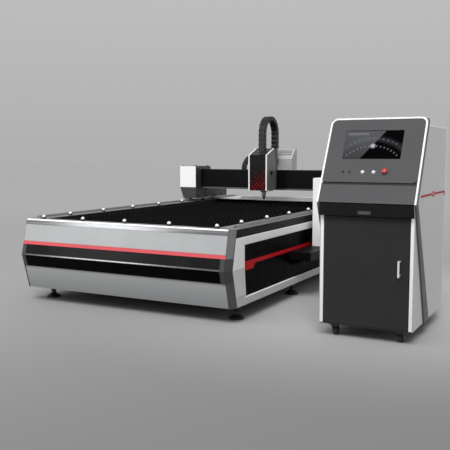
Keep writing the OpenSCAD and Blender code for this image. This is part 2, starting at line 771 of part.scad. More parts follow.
// Corners of the head cover's outline, set in by a depth from its front and sloping top
function head_corner(d) = [head_y + d, cover_top + d * tan(slope) - d / cos(slope)];
function head_peak(d) = [head_y + head_slope_d + d * sin(slope), cover_top + head_rise - d * cos(slope)];
module head_cover() color("gray") placed() {
    left = head_x - head_w / 2;
    right = head_x + head_w / 2;
    top_x = head_w / 2 - head_trim_w - fit;
    for (x = [left, right - cover_t]) along_x(x, x + cover_t) polygon([
        [head_y + trim_d, head_z], head_corner(trim_d), head_peak(trim_d), [plate_y, cover_top - 90],
        [plate_y, head_z + 10], [head_y + 170, head_z - 8]]);
    difference() {
        translate([head_x - top_x, head_y, cover_top]) rotate([slope, 0, 0])
            translate([0, trim_d, -cover_t - 2])
                cube([2 * top_x, head_slope_d / cos(slope) - trim_d, cover_t]);
        block([head_x - chain_w / 2 - 8, loop_front_y - link_h / 2 - 12, head_z],
            [head_x + chain_w / 2 + 8, loop_front_y + link_h / 2 + 12, cover_top + 200]);
    }
    difference() {
        block([left + cover_t, head_y + trim_d, head_z + 2], [right - cover_t, plate_y - fit, head_z + 8]);
        translate([head_x, axis_y, head_z]) cylinder(h = 20, d = body_d + 20);
    }
}
module head_trims() color("white") placed()
    for (x = [head_x - head_w / 2, head_x + head_w / 2 - head_trim_w])
        along_x(x, x + head_trim_w) polygon([
            [head_y, head_z], head_corner(0), head_peak(0), head_peak(trim_d), head_corner(trim_d),
            [head_y + trim_d, head_z]]);
module head_window() color([0.12, 0.02, 0.03]) placed()
    block([head_x - head_w / 2 + head_trim_w + fit, head_y + 3, head_z + 8],
        [head_x + head_w / 2 - head_trim_w - fit, head_y + 9, cover_top - 8]);
module cutting_head() color("silver") placed() translate([head_x, 0, 0]) {
    translate([0, axis_y, 0]) rotate_extrude() polygon([
        [0, tip_z0 + 40], [22, tip_z0 + 40], [28, tip_z0 + 60], [28, tip_z0 + 95], [body_d / 2, tip_z0 + 115],
        [body_d / 2, head_z + 250], [38, head_z + 262], [38, head_z + 330], [0, head_z + 330]]);
    block([-60, plate_y - 24, head_z + 95], [60, plate_y - fit, head_z + 330]);
    block([-40, axis_y, head_z + 100], [40, plate_y - 20, head_z + 240]);
    block([-chain_w / 2, loop_front_y - link_h / 2, head_top_z - 24],
        [chain_w / 2, plate_y - 24, head_top_z]);
    block([-chain_w / 2, plate_y - 40, head_z + 300], [chain_w / 2, plate_y - 24, head_top_z]);
}
module nozzle() color("goldenrod") placed() translate([head_x, axis_y, 0]) rotate_extrude() polygon([
    [1, tip_z0], [4, tip_z0], [14, tip_z0 + 22], [18, tip_z0 + 24], [18, tip_z0 + 40], [1, tip_z0 + 40]]);

// Console body
// Front edge of the creased side frames at a height below the nose
function strip_y(z) = nose_y + (nose_z - z) / (nose_z - console_base) * (heel_y - nose_y);
function lean_pt(s, depth) = [
    nose_y + s * sin(panel_lean) + depth * cos(panel_lean),
    nose_z + s * cos(panel_lean) - depth * sin(panel_lean)];
meet_z = nose_z - (door_y - nose_y) / (heel_y - nose_y) * (nose_z - console_base);
top_s = (console_top - nose_z + ring_d * sin(panel_lean)) / cos(panel_lean);
module console_sides() color("silver") at_console() both_sides()
    along_x(body_half - sheet_t, body_half) polygon([
        [door_y, console_base], [door_y, meet_z], lean_pt(0, ring_d + fit), lean_pt(top_s, ring_d + fit),
        [console_rear, console_top], [console_rear, console_base]]);
module console_strips() color("dimgray") at_console() both_sides() along_x(body_half, frame_half) {
    near = ring_d + fit;
    foot = strip_y(console_base);
    polygon([lean_pt(0, near), lean_pt(panel_len - 6, near), lean_pt(panel_len - 6, near + arm_d),
        lean_pt(0, near + arm_d)]);
    polygon([lean_pt(0, near), [foot, console_base], [foot + strip_w, console_base],
        [nose_y + strip_w / 2, nose_z]]);
}
module console_line() along_x(body_half, body_half + stripe_t) {
    z = nose_z + 50;
    line_h = 16;
    y0 = nose_y + 220;
    y1 = console_rear - 12;
    ring_y = y0 + 430;
    ring_l = 92;
    ring_h = 44;
    translate([y0, z - line_h / 2]) square([ring_y - y0, line_h]);
    translate([ring_y + ring_l, z - line_h / 2]) square([y1 - ring_y - ring_l, line_h]);
    translate([y1 - 40, z - 34]) square([40, 34]);
    translate([ring_y, z - ring_h / 2]) difference() {
        rounded(ring_l, ring_h, 20);
        translate([13, 12]) rounded(ring_l - 26, ring_h - 24, 9);
    }
}
module console_shell() color("silver") at_console() {
    inner = body_half - sheet_t - fit;
    block([-inner, console_rear - sheet_t, console_base], [inner, console_rear, console_top]);
    block([-inner, lean_pt(top_s, ring_d + 70)[0], console_top - sheet_t],
        [inner, console_rear - sheet_t - fit, console_top]);
    difference() {
        block([-inner, door_y + 2, console_base],
            [inner, console_rear - sheet_t - fit, console_base + base_t]);
        translate([pivot_x, pivot_y, console_base - 1]) cylinder(h = base_t + 2, r = pivot_r + pin_fit);
    }
    difference() {
        block([-inner, door_y + 2, header_z], [inner, door_y + 180, header_z + header_t]);
        translate([pivot_x, pivot_y, header_z - 1]) cylinder(h = header_t + 2, r = pivot_r + pin_fit);
    }
    both_sides() block([body_half - sheet_t - drawer_side + fit, door_y + 60, drawer_z + 22],
        [inner, door_y + 60 + drawer_l, drawer_z + 40]);
    for (x = [-caster_x, caster_x], y = caster_ys)
        block([x - 46, y - 46, console_base - caster_plate_t], [x + 46, y + 46, console_base]);
}
module console_posts() color("white") at_console() both_sides()
    block([body_half - sheet_t - fit - post_w, door_y, console_base + base_t],
        [body_half - sheet_t - fit, door_y + 25, header_z]);

// A child drawn on the leaning panel: X across, Y up the lean, Z outward
module on_panel() at_console() translate([0, nose_y, nose_z]) rotate([90 - panel_lean, 0, 0]) children();
module panel_frame() color("white") on_panel()
    translate([0, 0, -ring_d]) linear_extrude(ring_d) difference() {
        below = 60;
        translate([-frame_half, -below]) rounded(2 * frame_half, panel_len + below, ring_r + ring_w - 2);
        translate([-frame_half + ring_w, -below])
            rounded(2 * (frame_half - ring_w), panel_len + below - ring_w, ring_r);
        translate([-frame_half, -below - 1]) square([2 * frame_half, below + 1]);
    }
module control_panel() color("dimgray") on_panel() {
    half = frame_half - ring_w - fit;
    back = body_half - sheet_t - fit;
    difference() {
        translate([0, 0, -10]) linear_extrude(8) difference() {
            translate([-half, plate_s]) rounded(2 * half, panel_len - ring_w - fit - plate_s, ring_r - fit);
            translate([screen_u - screen_w / 2, screen_s]) square([screen_w, screen_h]);
        }
        panel_holes();
    }
    difference() {
        translate([-back, 2, -16]) cube([2 * back, panel_len - ring_w - 50, 6]);
        translate([screen_u - screen_w / 2 - 14, screen_s - 14, -30])
            cube([screen_w + 28, screen_h + 28, 40]);
        panel_holes();
    }
    translate([-half, 2, -10]) cube([2 * half, panel_gap_s - 2, 8]);
}
module panel_holes() {
    for (u = button_us) translate([u, button_s, -40]) cylinder(h = 60, d = bezel_d - 4);
    translate([mushroom_u, button_s + 3, -40]) cylinder(h = 60, d = bezel_d - 4);
}
module monitor() color([0.03, 0.03, 0.04]) on_panel() {
    translate([screen_u - screen_w / 2 + fit, screen_s + fit, -10])
        cube([screen_w - 2 * fit, screen_h - 2 * fit, 6]);
    translate([screen_u - screen_w / 2 - 13, screen_s - 13, -50])
        cube([screen_w + 26, screen_h + 26, 40]);
}
module bezel(d) difference() {
    union() {
        translate([0, 0, -2]) cylinder(h = 4, d = d);
        translate([0, 0, -30]) cylinder(h = 30, d = d - 4 - 2 * fit);
    }
    translate([0, 0, -31]) cylinder(h = 40, d = d - 8 + 4 * pin_fit);
}
module panel_fittings() color("silver") on_panel() {
    for (u = button_us) translate([u, button_s, 0]) bezel(bezel_d);
    translate([mushroom_u, button_s + 3, 0]) bezel(bezel_d);
    for (u = socket_us) translate([u, button_s + 2, -2]) difference() {
        translate([-6, -10, 0]) cube([12, 20, 2]);
        translate([-3, -7, 1]) cube([6, 14, 2]);
    }
}
module push_button(u) on_panel() translate([u, button_s, 0]) {
    translate([0, 0, -button_in]) cylinder(h = button_in + 5, d = button_d - 2 * pin_fit);
    translate([0, 0, 5]) cylinder(h = 3, d1 = button_d - 2 * pin_fit, d2 = button_d - 4);
}
module start_button() color("silver") push_button(button_us[0]);
module stop_button() color("silver") push_button(button_us[1]);
module emergency_button() color("red") on_panel() translate([mushroom_u, button_s + 3, 0]) {
    translate([0, 0, -button_in]) cylinder(h = button_in + 12, d = button_d - 2 * pin_fit);
    translate([0, 0, 10]) rotate_extrude() polygon([
        [0, 0], [mushroom_d / 2 - 4, 0], [mushroom_d / 2, 5], [mushroom_d / 2, 14], [mushroom_d / 2 - 4, 20],
        [0, 22]]);
}

// Console contents, door and drawer
module laser_source() color("gray") at_console() {
    low = console_base + base_t;
    half = 0.35 * console_w;
    y0 = door_y + 0.228 * console_d;
    y1 = door_y + 0.842 * console_d;
    h = 260;
    step = 40;
    grip_x = half - step;
    grip_out = 35;
    block([-half, y0, low], [half, y1, low + h]);
    for (x = [-grip_x, grip_x]) block([x - 12, y0 - grip_out, low + 60], [x + 12, y0, low + h - 60]);
    block([-half + step, y0 + step, low + h], [half - step, y1 - step, low + h + 380]);
}
module door() color([0.16, 0.16, 0.16]) at_console() {
    block([door_x0, door_y, door_z0], [door_x1, door_y + door_t, door_z1]);
    translate([pivot_x, pivot_y, console_base + 0.5]) cylinder(h = door_z0 - console_base, r = pivot_r);
    translate([pivot_x, pivot_y, door_z1 - 0.5]) cylinder(h = header_z + header_t - door_z1, r = pivot_r);
}
module door_handle() color("whitesmoke") at_console() {
    for (z = [handle_z[0] + 10, handle_z[1] - 10])
        translate([handle_x, door_y, z]) rotate([90, 0, 0]) cylinder(h = handle_out - handle_r, r = handle_r);
    translate([handle_x, door_y - handle_out + handle_r, handle_z[0]])
        cylinder(h = handle_z[1] - handle_z[0], r = handle_r);
}
module drawer() color([0.08, 0.08, 0.08]) at_console() {
    half = body_half - sheet_t - 2;
    tray = body_half - sheet_t - drawer_side;
    low = drawer_z + 8;
    rear = drawer_y + 14 + drawer_l;
    grip_x = 58;
    difference() {
        block([-half, drawer_y, drawer_z], [half, drawer_y + 14, drawer_z + drawer_h]);
        block([-grip_x, drawer_y - 1, drawer_z + 14], [grip_x - 10, drawer_y + 10, drawer_z + 42]);
    }
    difference() {
        block([-tray, drawer_y + 14, low], [tray, rear, low + 50]);
        block([-tray + 4, drawer_y + 14 - 1, low + 4], [tray - 4, rear - 4, low + 51]);
    }
}

// Casters: a swivelling fork with its axle, and a wheel that turns on it
function caster_at(side, row) = [side * caster_x, caster_ys[row], 0];
cheek_x = wheel_w / 2 + 3;
cheek_t = 4;
module caster_fork(side, row) color([0.1, 0.1, 0.1]) at_console() translate(caster_at(side, row)) {
    skirt_z = wheel_d + 2;
    translate([0, 0, crown_z - 12]) cylinder(h = 12, r = 40);
    translate([0, 0, skirt_z]) cylinder(h = crown_z - 12 - skirt_z, r1 = 31, r2 = 40);
    for (x = [-cheek_x - cheek_t, cheek_x]) along_x(x, x + cheek_t) {
        polygon([[-20, crown_z - 12], [24, crown_z - 12], [caster_trail + 12, wheel_r],
            [caster_trail - 12, wheel_r]]);
        translate([caster_trail, wheel_r]) circle(12);
    }
    translate([-cheek_x, caster_trail, wheel_r]) rotate([0, 90, 0]) cylinder(h = 2 * cheek_x, r = axle_r);
}
module caster_wheel(side, row) color([0.05, 0.05, 0.05]) at_console()
    translate(caster_at(side, row) + [0, caster_trail, wheel_r]) rotate([0, 90, 0]) rotate_extrude() {
        bore = axle_r + pin_fit;
        hub = cheek_x - fit;
        rim = wheel_w / 2;
        polygon([
            [bore, -hub], [12, -hub], [12, -rim + 4], [wheel_r - 10, -rim + 4], [wheel_r - 8, -rim],
            [wheel_r - 4, -rim], [wheel_r, -rim + 5], [wheel_r, rim - 5], [wheel_r - 4, rim],
            [wheel_r - 8, rim], [wheel_r - 10, rim - 4], [12, rim - 4], [12, hub], [bore, hub]]);
    }

frame_tubes();
frame_posts();
frame_cross_beams();
slat_combs();
cutting_slats();
scrap_trays();
front_top_trim();
front_panels();
front_band();
corner_posts();
red_stripes();
side_frames();
black_panels();
side_strips();
rim_covers();
guide_rails();
rear_cover();
levelling_feet();
loading_balls();
side_shelf();
side_cabinet();
beam();
beam_guides();
end_caps();
saddles();
bearing_blocks();
drive_motors();
chain_tray();
carriage();
carriage_cover();
cable_chains();
head_cover();
head_trims();
head_window();
cutting_head();
nozzle();
head_chain();
console_sides();
console_shell();
console_posts();
console_strips();
panel_frame();
control_panel();
monitor();
panel_fittings();
laser_source();
door();
door_handle();
drawer();
start_button();
stop_button();
emergency_button();
caster_fork(-1, 0);  // caster_fork_fl
caster_fork(1, 0);  // caster_fork_fr
caster_fork(-1, 1);  // caster_fork_rl
caster_fork(1, 1);  // caster_fork_rr
caster_wheel(-1, 0);  // caster_wheel_fl
caster_wheel(1, 0);  // caster_wheel_fr
caster_wheel(-1, 1);  // caster_wheel_rl
caster_wheel(1, 1);  // caster_wheel_rr
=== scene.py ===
import json
import math

import bmesh
import bpy
from mathutils import Matrix, Vector


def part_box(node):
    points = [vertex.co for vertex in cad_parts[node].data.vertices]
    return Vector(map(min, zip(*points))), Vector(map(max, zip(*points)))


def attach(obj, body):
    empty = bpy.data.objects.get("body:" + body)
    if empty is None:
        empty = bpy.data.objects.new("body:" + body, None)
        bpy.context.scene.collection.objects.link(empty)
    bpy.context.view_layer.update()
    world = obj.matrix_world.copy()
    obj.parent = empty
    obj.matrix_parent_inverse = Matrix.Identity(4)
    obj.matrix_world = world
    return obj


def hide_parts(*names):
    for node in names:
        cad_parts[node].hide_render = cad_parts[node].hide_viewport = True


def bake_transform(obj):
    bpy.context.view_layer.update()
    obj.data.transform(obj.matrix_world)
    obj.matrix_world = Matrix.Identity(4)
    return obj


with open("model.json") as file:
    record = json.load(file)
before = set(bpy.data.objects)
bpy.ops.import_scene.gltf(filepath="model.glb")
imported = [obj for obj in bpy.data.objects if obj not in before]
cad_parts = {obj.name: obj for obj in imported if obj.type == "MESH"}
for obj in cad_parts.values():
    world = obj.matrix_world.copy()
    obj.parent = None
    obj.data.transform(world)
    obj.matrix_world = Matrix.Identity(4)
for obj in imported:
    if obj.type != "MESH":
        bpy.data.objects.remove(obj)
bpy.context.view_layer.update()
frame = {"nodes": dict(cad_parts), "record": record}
nodes = frame["nodes"]
slot_of = {row["node"]: row["material_slot"] for row in frame["record"]["subparts"]}

# Places are in metres from the floor under the middle of the bed's front crease
BED = Vector((-0.7725, -2.345, 0.0))
RIM = 0.850
CREASE = 0.493
CONSOLE_X = 2.345
HEAD_X = 0.076
SIDES = (-1, 1)

# Directions
UP = (0, 0, 1)
DOWN = (0, 0, -1)
RIGHT = (1, 0, 0)
FRONT = (0, -1, 0)
REAR = (0, 1, 0)


def at(x, y, z):
    return BED + Vector((x, y, z))


def on_console(x, y, z):
    """A place measured sideways from the console's middle."""
    return at(CONSOLE_X + x, y, z)


def spaced(start, step, count):
    """Evenly spaced numbers."""
    return [start + step * i for i in range(count)]


def add_object(name, data):
    made = bpy.data.objects.new(name, data)
    bpy.context.scene.collection.objects.link(made)
    return made


def srgb(r, g, b):
    """A colour as seen on screen, 0 to 255, as linear light with alpha."""
    def linear(c):
        c /= 255
        return c / 12.92 if c <= 0.04045 else ((c + 0.055) / 1.055) ** 2.4
    return (linear(r), linear(g), linear(b), 1.0)


def shade(colour, factor):
    return tuple(min(1.0, c * factor) for c in colour[:3]) + (1.0,)


# Materials

class Material:
    """A principled material with helpers for procedural detail in the object's own coordinates."""

    def __init__(self, name):
        self.data = bpy.data.materials.new(name)
        self.data.use_nodes = True
        self.tree = self.data.node_tree
        self.tree.nodes.clear()
        self.shader = self.node("ShaderNodeBsdfPrincipled")
        output = self.node("ShaderNodeOutputMaterial")
        self.link(self.shader.outputs["BSDF"], output.inputs["Surface"])
        self.place = self.node("ShaderNodeTexCoord").outputs["Object"]

    def node(self, kind, **settings):
        made = self.tree.nodes.new(kind)
        for key, value in settings.items():
            setattr(made, key, value)
        return made

    def link(self, source, target):
        self.tree.links.new(source, target)

    def put(self, value, target):
        """Links a socket, or sets a number or colour."""
        if isinstance(value, bpy.types.NodeSocket):
            self.link(value, target)
        else:
            target.default_value = value

    def set(self, **values):
        """Sets the shader's inputs by name, with _ for a space."""
        for key, value in values.items():
            self.put(value, self.shader.inputs[key.replace("_", " ")])
        return self

    def repaint(self, mask, colour):
        """Lays another colour over the one so far."""
        base = self.shader.inputs["Base Color"]
        return self.set(Base_Color=self.mix(mask, base.links[0].from_socket, colour))

    def calc(self, operation, a, b=0.0):
        made = self.node("ShaderNodeMath", operation=operation)
        self.put(a, made.inputs[0])
        self.put(b, made.inputs[1])
        return made.outputs["Value"]

    def plus(self, a, b):
        return self.calc("ADD", a, b)

    def minus(self, a, b):
        return self.calc("SUBTRACT", a, b)

    def times(self, a, b):
        return self.calc("MULTIPLY", a, b)

    def divide(self, a, b):
        return self.calc("DIVIDE", a, b)

    def fraction(self, value):
        return self.calc("FRACT", value)

    def absolute(self, value):
        """A value without its sign."""
        return self.calc("ABSOLUTE", value)

    def either(self, a, b):
        return self.calc("MAXIMUM", a, b)

    def both(self, *masks):
        made = masks[0]
        for mask in masks[1:]:
            made = self.times(made, mask)
        return made

    def length(self, a, b):
        """The length of two offsets at right angles."""
        return self.calc("SQRT", self.plus(self.times(a, a), self.times(b, b)))

    def axis(self, name):
        made = self.node("ShaderNodeSeparateXYZ")
        self.link(self.place, made.inputs["Vector"])
        return made.outputs[name]

    def past(self, name, place):
        """How far a point lies past a place along an axis."""
        return self.minus(self.axis(name), place)

    def away(self, name, middle):
        """Distance along an axis from a middle, to either side."""
        return self.absolute(self.past(name, middle))

    def spread(self, value, low, high, to_low=0.0, to_high=1.0, smooth=False):
        """Maps a range of values to another, and holds its ends."""
        made = self.node("ShaderNodeMapRange", clamp=True)
        if smooth:
            made.interpolation_type = "SMOOTHSTEP"
        self.put(value, made.inputs["Value"])
        ends = {"From Min": low, "From Max": high, "To Min": to_low, "To Max": to_high}
        for key, number in ends.items():
            made.inputs[key].default_value = number
        return made.outputs["Result"]

    def over(self, value, edge, soft=0.0004):
        """1 where a value is above an edge, 0 below it."""
        return self.spread(value, edge - soft, edge + soft)

    def under(self, value, edge, soft=0.0004):
        return self.spread(value, edge + soft, edge - soft)

    def between(self, value, low, high):
        return self.both(self.over(value, low), self.under(value, high))

    def mix(self, factor, a, b):
        made = self.node("ShaderNodeMix", data_type="RGBA")
        self.put(factor, made.inputs[0])
        self.put(a, made.inputs[6])
        self.put(b, made.inputs[7])
        return made.outputs[2]

    def stretched(self, scale):
        mapping = self.node("ShaderNodeMapping")
        mapping.inputs["Scale"].default_value = scale
        self.link(self.place, mapping.inputs["Vector"])
        return mapping.outputs["Vector"]

    def noise(self, scale, detail=3.0, rough=0.55, stretch=None):
        made = self.node("ShaderNodeTexNoise")
        made.inputs["Scale"].default_value = scale
        made.inputs["Detail"].default_value = detail
        made.inputs["Roughness"].default_value = rough
        self.link(self.stretched(stretch) if stretch else self.place, made.inputs["Vector"])
        return made.outputs["Fac"]

    def patches(self, scale, detail, low=0.0, high=1.0):
        """Soft patches of noise between two values."""
        return self.spread(self.noise(scale, detail), 0.3, 0.7, low, high)

    def bump(self, height, strength, distance):
        made = self.node("ShaderNodeBump")
        made.inputs["Strength"].default_value = strength
        made.inputs["Distance"].default_value = distance
        self.link(height, made.inputs["Height"])
        return made.outputs["Normal"]


def paint(name, colour, rough=0.42, mottle=0.05, grain=0.18, gloss=0.5):
    """Powder coat: faint cloudiness, a fine orange-peel grain and a little uneven gloss."""
    m = Material(name)
    tone = m.mix(m.patches(2.6, 4.0), shade(colour, 1 - mottle), shade(colour, 1 + mottle))
    speck = m.spread(m.noise(700.0, 1.0), 0.35, 0.65)
    m.set(Base_Color=m.mix(m.times(speck, 0.12), tone, shade(colour, 0.8)))
    m.set(Roughness=m.patches(9.0, 3.0, rough - 0.06, rough + 0.06), Specular_IOR_Level=gloss)
    return m.set(Normal=m.bump(m.noise(420.0, 2.0), grain, 0.0004))


def metal(name, colour, rough, stretch=None, streak=0.1, metallic=1.0):
    """Brushed or ground metal: streaks, long where the noise is stretched."""
    m = Material(name)
    lines = m.noise(60.0, 5.0, 0.7, stretch)
    tone = m.mix(m.spread(lines, 0.35, 0.65), shade(colour, 1 - streak), shade(colour, 1 + streak))
    m.set(Base_Color=m.mix(m.times(m.patches(5.0, 3.0), 0.2), tone, shade(colour, 0.75)))
    m.set(Roughness=m.spread(lines, 0.3, 0.7, rough - 0.08, rough + 0.1), Metallic=metallic)
    return m.set(Normal=m.bump(lines, 0.12, 0.0003))


def moulded(name, colour, rough, grain=0.3, coat=0.0):
    """Plastic or rubber with a fine spark-eroded grain and slight fading."""
    m = Material(name)
    m.set(Base_Color=m.mix(m.patches(14.0, 3.0), shade(colour, 0.9), shade(colour, 1.15)))
    m.set(Roughness=m.patches(60.0, 2.0, rough - 0.07, rough + 0.07))
    m.set(Normal=m.bump(m.noise(900.0, 2.0), grain, 0.0003))
    return m.set(Coat_Weight=coat, Coat_Roughness=0.05)


def slat_steel():
    """Black sheet steel, burnt and spattered along the toothed edge."""
    m = Material("slat_steel")
    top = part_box("cutting_slats")[1].z
    burnt_depth = 0.05
    burn = m.times(m.spread(m.axis("Z"), top - burnt_depth, top), m.noise(38.0, 4.0))
    streak = m.spread(m.noise(25.0, 4.0, 0.6, (1.0, 1.0, 0.25)), 0.3, 0.7)
    spatter = m.spread(m.noise(260.0, 1.0), 0.64, 0.7)
    tone = m.mix(streak, srgb(9, 9, 10), srgb(19, 19, 20))
    tone = m.mix(m.spread(burn, 0.2, 0.5), tone, srgb(16, 13, 12))
    tone = m.mix(m.times(spatter, 0.4), tone, srgb(60, 58, 56))
    m.set(Base_Color=tone, Specular_IOR_Level=0.08)
    m.set(Roughness=m.spread(streak, 0.0, 1.0, 0.36, 0.54))
    return m.set(Normal=m.bump(m.noise(140.0, 4.0), 0.35, 0.0008))


def band_gloss():
    """Black gloss band: dark grey above the crease from a painted reflection, deep black below, a polished
    metal edge between.
    """
    m = Material("band_gloss")
    z = m.axis("Z")
    edge = m.between(z, CREASE - 0.001, CREASE + 0.013)
    cloud = m.patches(3.0, 3.0)
    m.set(Base_Color=m.mix(cloud, srgb(1, 1, 1), srgb(4, 4, 5)))
    # Painted reflection: the face above the crease is painted dark grey.
    m.repaint(m.over(z, CREASE), m.mix(cloud, srgb(27, 27, 28), srgb(34, 34, 35)))
    m.repaint(edge, srgb(134, 135, 138))
    m.set(Roughness=m.patches(20.0, 2.0, 0.16, 0.24), Specular_IOR_Level=0.05, Metallic=edge)
    return m.set(Normal=m.bump(m.noise(6.0, 2.0), 0.05, 0.002))


def cap_paint():
    """White end caps with black top plates behind a white lip, and inner faces darkened by painted shade."""
    m = paint("cap_paint", srgb(251, 251, 251), 0.34, mottle=0.02)
    low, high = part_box("end_caps")
    inner_face, plate_thick, lip = 0.948, 0.0118, 0.010
    # Painted shade darkens the inner faces.
    m.repaint(m.under(m.away("X", BED.x), inner_face), srgb(66, 66, 68))
    plate = m.both(m.over(m.axis("Z"), high.z - plate_thick), m.over(m.axis("Y"), low.y + lip))
    return m.repaint(plate, srgb(16, 16, 17))


def window_dots():
    """Dark tinted plate with staggered, uneven red dots that crowd the lower right and thin out upwards."""
    m = Material("window_dots")
    low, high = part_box("head_window")
    pitch, rise, largest, soft = 0.050, 0.025, 0.0119, 0.001

    # One cell for each dot, every other row half a pitch along
    v = m.divide(m.past("Z", low.z), rise)
    row = m.calc("FLOOR", v)
    stagger = m.times(m.calc("MODULO", row, 2.0), 0.5)
    u = m.plus(m.divide(m.past("X", low.x), pitch), stagger)
    cell = m.node("ShaderNodeCombineXYZ")
    m.link(m.calc("FLOOR", u), cell.inputs["X"])
    m.link(row, cell.inputs["Y"])
    uneven = m.node("ShaderNodeTexWhiteNoise", noise_dimensions="2D")
    m.link(cell.outputs["Vector"], uneven.inputs["Vector"])
    du = m.times(m.minus(m.fraction(u), 0.5), pitch)
    dv = m.times(m.minus(m.fraction(v), 0.5), rise)

    # The size of each dot
    across = m.spread(m.axis("X"), low.x, high.x)
    up = m.spread(m.axis("Z"), low.z, high.z)
    crowd = m.minus(m.plus(m.times(across, 0.3), 0.52), up)
    radius = m.times(m.spread(crowd, -0.12, 0.5, 0.0, largest),
                     m.spread(uneven.outputs["Value"], 0.0, 1.0, 0.5, 1.04))
    dot = m.spread(m.minus(radius, m.length(du, dv)), -soft, soft)

    m.set(Base_Color=m.mix(m.patches(8.0, 2.0), srgb(9, 7, 8), srgb(14, 10, 12)))
    red = m.mix(m.spread(m.noise(30.0, 2.0), 0.35, 0.65), srgb(116, 8, 20), srgb(166, 12, 30))
    m.repaint(dot, red)
    return m.set(Roughness=m.patches(30.0, 2.0, 0.12, 0.2), Specular_IOR_Level=0.06)


def corner_paint():
    """Grey posts, dark beside the black band and a little lighter below it."""
    m = paint("corner_paint", srgb(107, 107, 109), 0.36)
    z = m.axis("Z")
    band_top, band_foot = 0.600, 0.380
    m.repaint(m.under(z, band_top), srgb(54, 54, 56))
    return m.repaint(m.under(z, band_foot), srgb(68, 68, 70))


def front_paint():
    """Light grey front, with painted shade below the band that is darkest along its foot."""
    m = paint("front_paint", srgb(163, 164, 165), 0.36)
    z = m.axis("Z")
    foot, band_foot = 0.15, 0.38
    # Painted shade: below the band the front darkens towards its foot.
    lower = m.mix(m.spread(z, foot, band_foot), srgb(130, 131, 132), srgb(158, 159, 160))
    return m.repaint(m.under(z, band_foot + 0.02, 0.01), lower)


def side_paint():
    """Side frames: pale above the crease, with painted shade below it and more towards the floor, and a
    painted highlight on the sill under the panels.
    """
    m = paint("side_paint", srgb(248, 248, 247), 0.4)
    y, z = m.axis("Y"), m.axis("Z")
    lower_rail, sill_foot, sill_top = 0.250, 0.217, 0.2265
    panels_start, panels_end = BED.y + 0.322, BED.y + 4.49
    # Painted shade below the crease, and deeper painted shade below the lower rail.
    m.repaint(m.under(z, CREASE, 0.003), srgb(212, 212, 211))
    m.repaint(m.under(z, lower_rail), srgb(190, 190, 189))
    # A painted highlight along the sill's top edge under the panels.
    sill = m.both(m.between(z, sill_foot, sill_top), m.between(y, panels_start, panels_end))
    return m.repaint(sill, srgb(252, 252, 252))


def trim_bright():
    """Brushed bright trim with a white lip along its top."""
    m = metal("trim_bright", srgb(150, 151, 153), 0.22, (0.02, 1.0, 1.0), 0.05)
    lip_foot, lip_back = RIM - 0.012, BED.y + 0.104
    lip = m.both(m.over(m.axis("Z"), lip_foot), m.under(m.axis("Y"), lip_back))
    m.repaint(lip, srgb(248, 248, 249))
    return m.set(Metallic=m.minus(1.0, lip))


def stripe_red():
    """Red: lit and shaded copies of one red as painted light and shade, paler on the front strip and deep on
    the sides; bright on the console's lines.
    """
    m = paint("stripe_red", srgb(206, 88, 94), 0.38, gloss=0.06)
    front_end, console_start = BED.y + 0.245, 0.6
    # Painted shade: the sides take a deeper copy of the front strip's red.
    on_sides = m.both(m.over(m.axis("Y"), front_end), m.under(m.axis("X"), console_start))
    m.repaint(on_sides, srgb(190, 20, 25))
    return m.repaint(m.over(m.axis("X"), console_start), srgb(186, 52, 56))


def rim_paint():
    """Grey side rims and a light rear deck."""
    m = paint("rim_paint", srgb(128, 128, 130), 0.38)
    deck_start, deck_half = BED.y + 3.899, 1.0
    deck = m.both(m.over(m.axis("Y"), deck_start), m.under(m.away("X", BED.x), deck_half))
    return m.repaint(deck, srgb(206, 207, 209))


def shell_paint():
    """The console's sheets, with a dark base and a dark header over the door."""
    m = paint("shell_paint", srgb(200, 200, 202), 0.46, grain=0.4)
    z = m.axis("Z")
    header_foot, header_top, header_back, base_top = 1.003, 1.018, BED.y + 0.3, 0.1195
    header = m.both(m.between(z, header_foot, header_top), m.under(m.axis("Y"), header_back))
    m.repaint(header, srgb(20, 20, 21))
    return m.repaint(m.under(z, base_top), srgb(38, 38, 39))


# The console's panel leans back from its nose
LEAN = math.radians(28)
NOSE = on_console(0, 0.110, 1.117)


def on_lean(m):
    """Distance up the leaning panel from its nose, and out of it."""
    y, z = m.past("Y", NOSE.y), m.past("Z", NOSE.z)
    up = m.plus(m.times(y, math.sin(LEAN)), m.times(z, math.cos(LEAN)))
    out = m.minus(m.times(z, math.sin(LEAN)), m.times(y, math.cos(LEAN)))
    return up, out


def panel_paint():
    """Dark grey panel; painted shadow blackens the gap between its two plates and the edge of the lower
    plate beside it.
    """
    m = paint("panel_paint", srgb(70, 70, 72), 0.46, gloss=0.3)
    up, out = on_lean(m)
    gap_foot, gap_top, shadow_depth = 0.160, 0.169, -0.006
    # Painted shadow along the lower plate's edge by the gap, which widens the dark gap.
    m.repaint(m.between(up, gap_foot, gap_top), srgb(10, 10, 10))
    # Painted shade on everything set back into the gap.
    return m.repaint(m.under(out, shadow_depth), srgb(6, 6, 6))


CHROME = srgb(238, 239, 240)


def fitting_metal():
    """Bright bezels and black sockets."""
    m = metal("fitting_metal", CHROME, 0.22, streak=0.03, metallic=0.3)
    sockets_end = 1.4525
    return m.repaint(m.under(m.axis("X"), sockets_end), srgb(14, 14, 15))


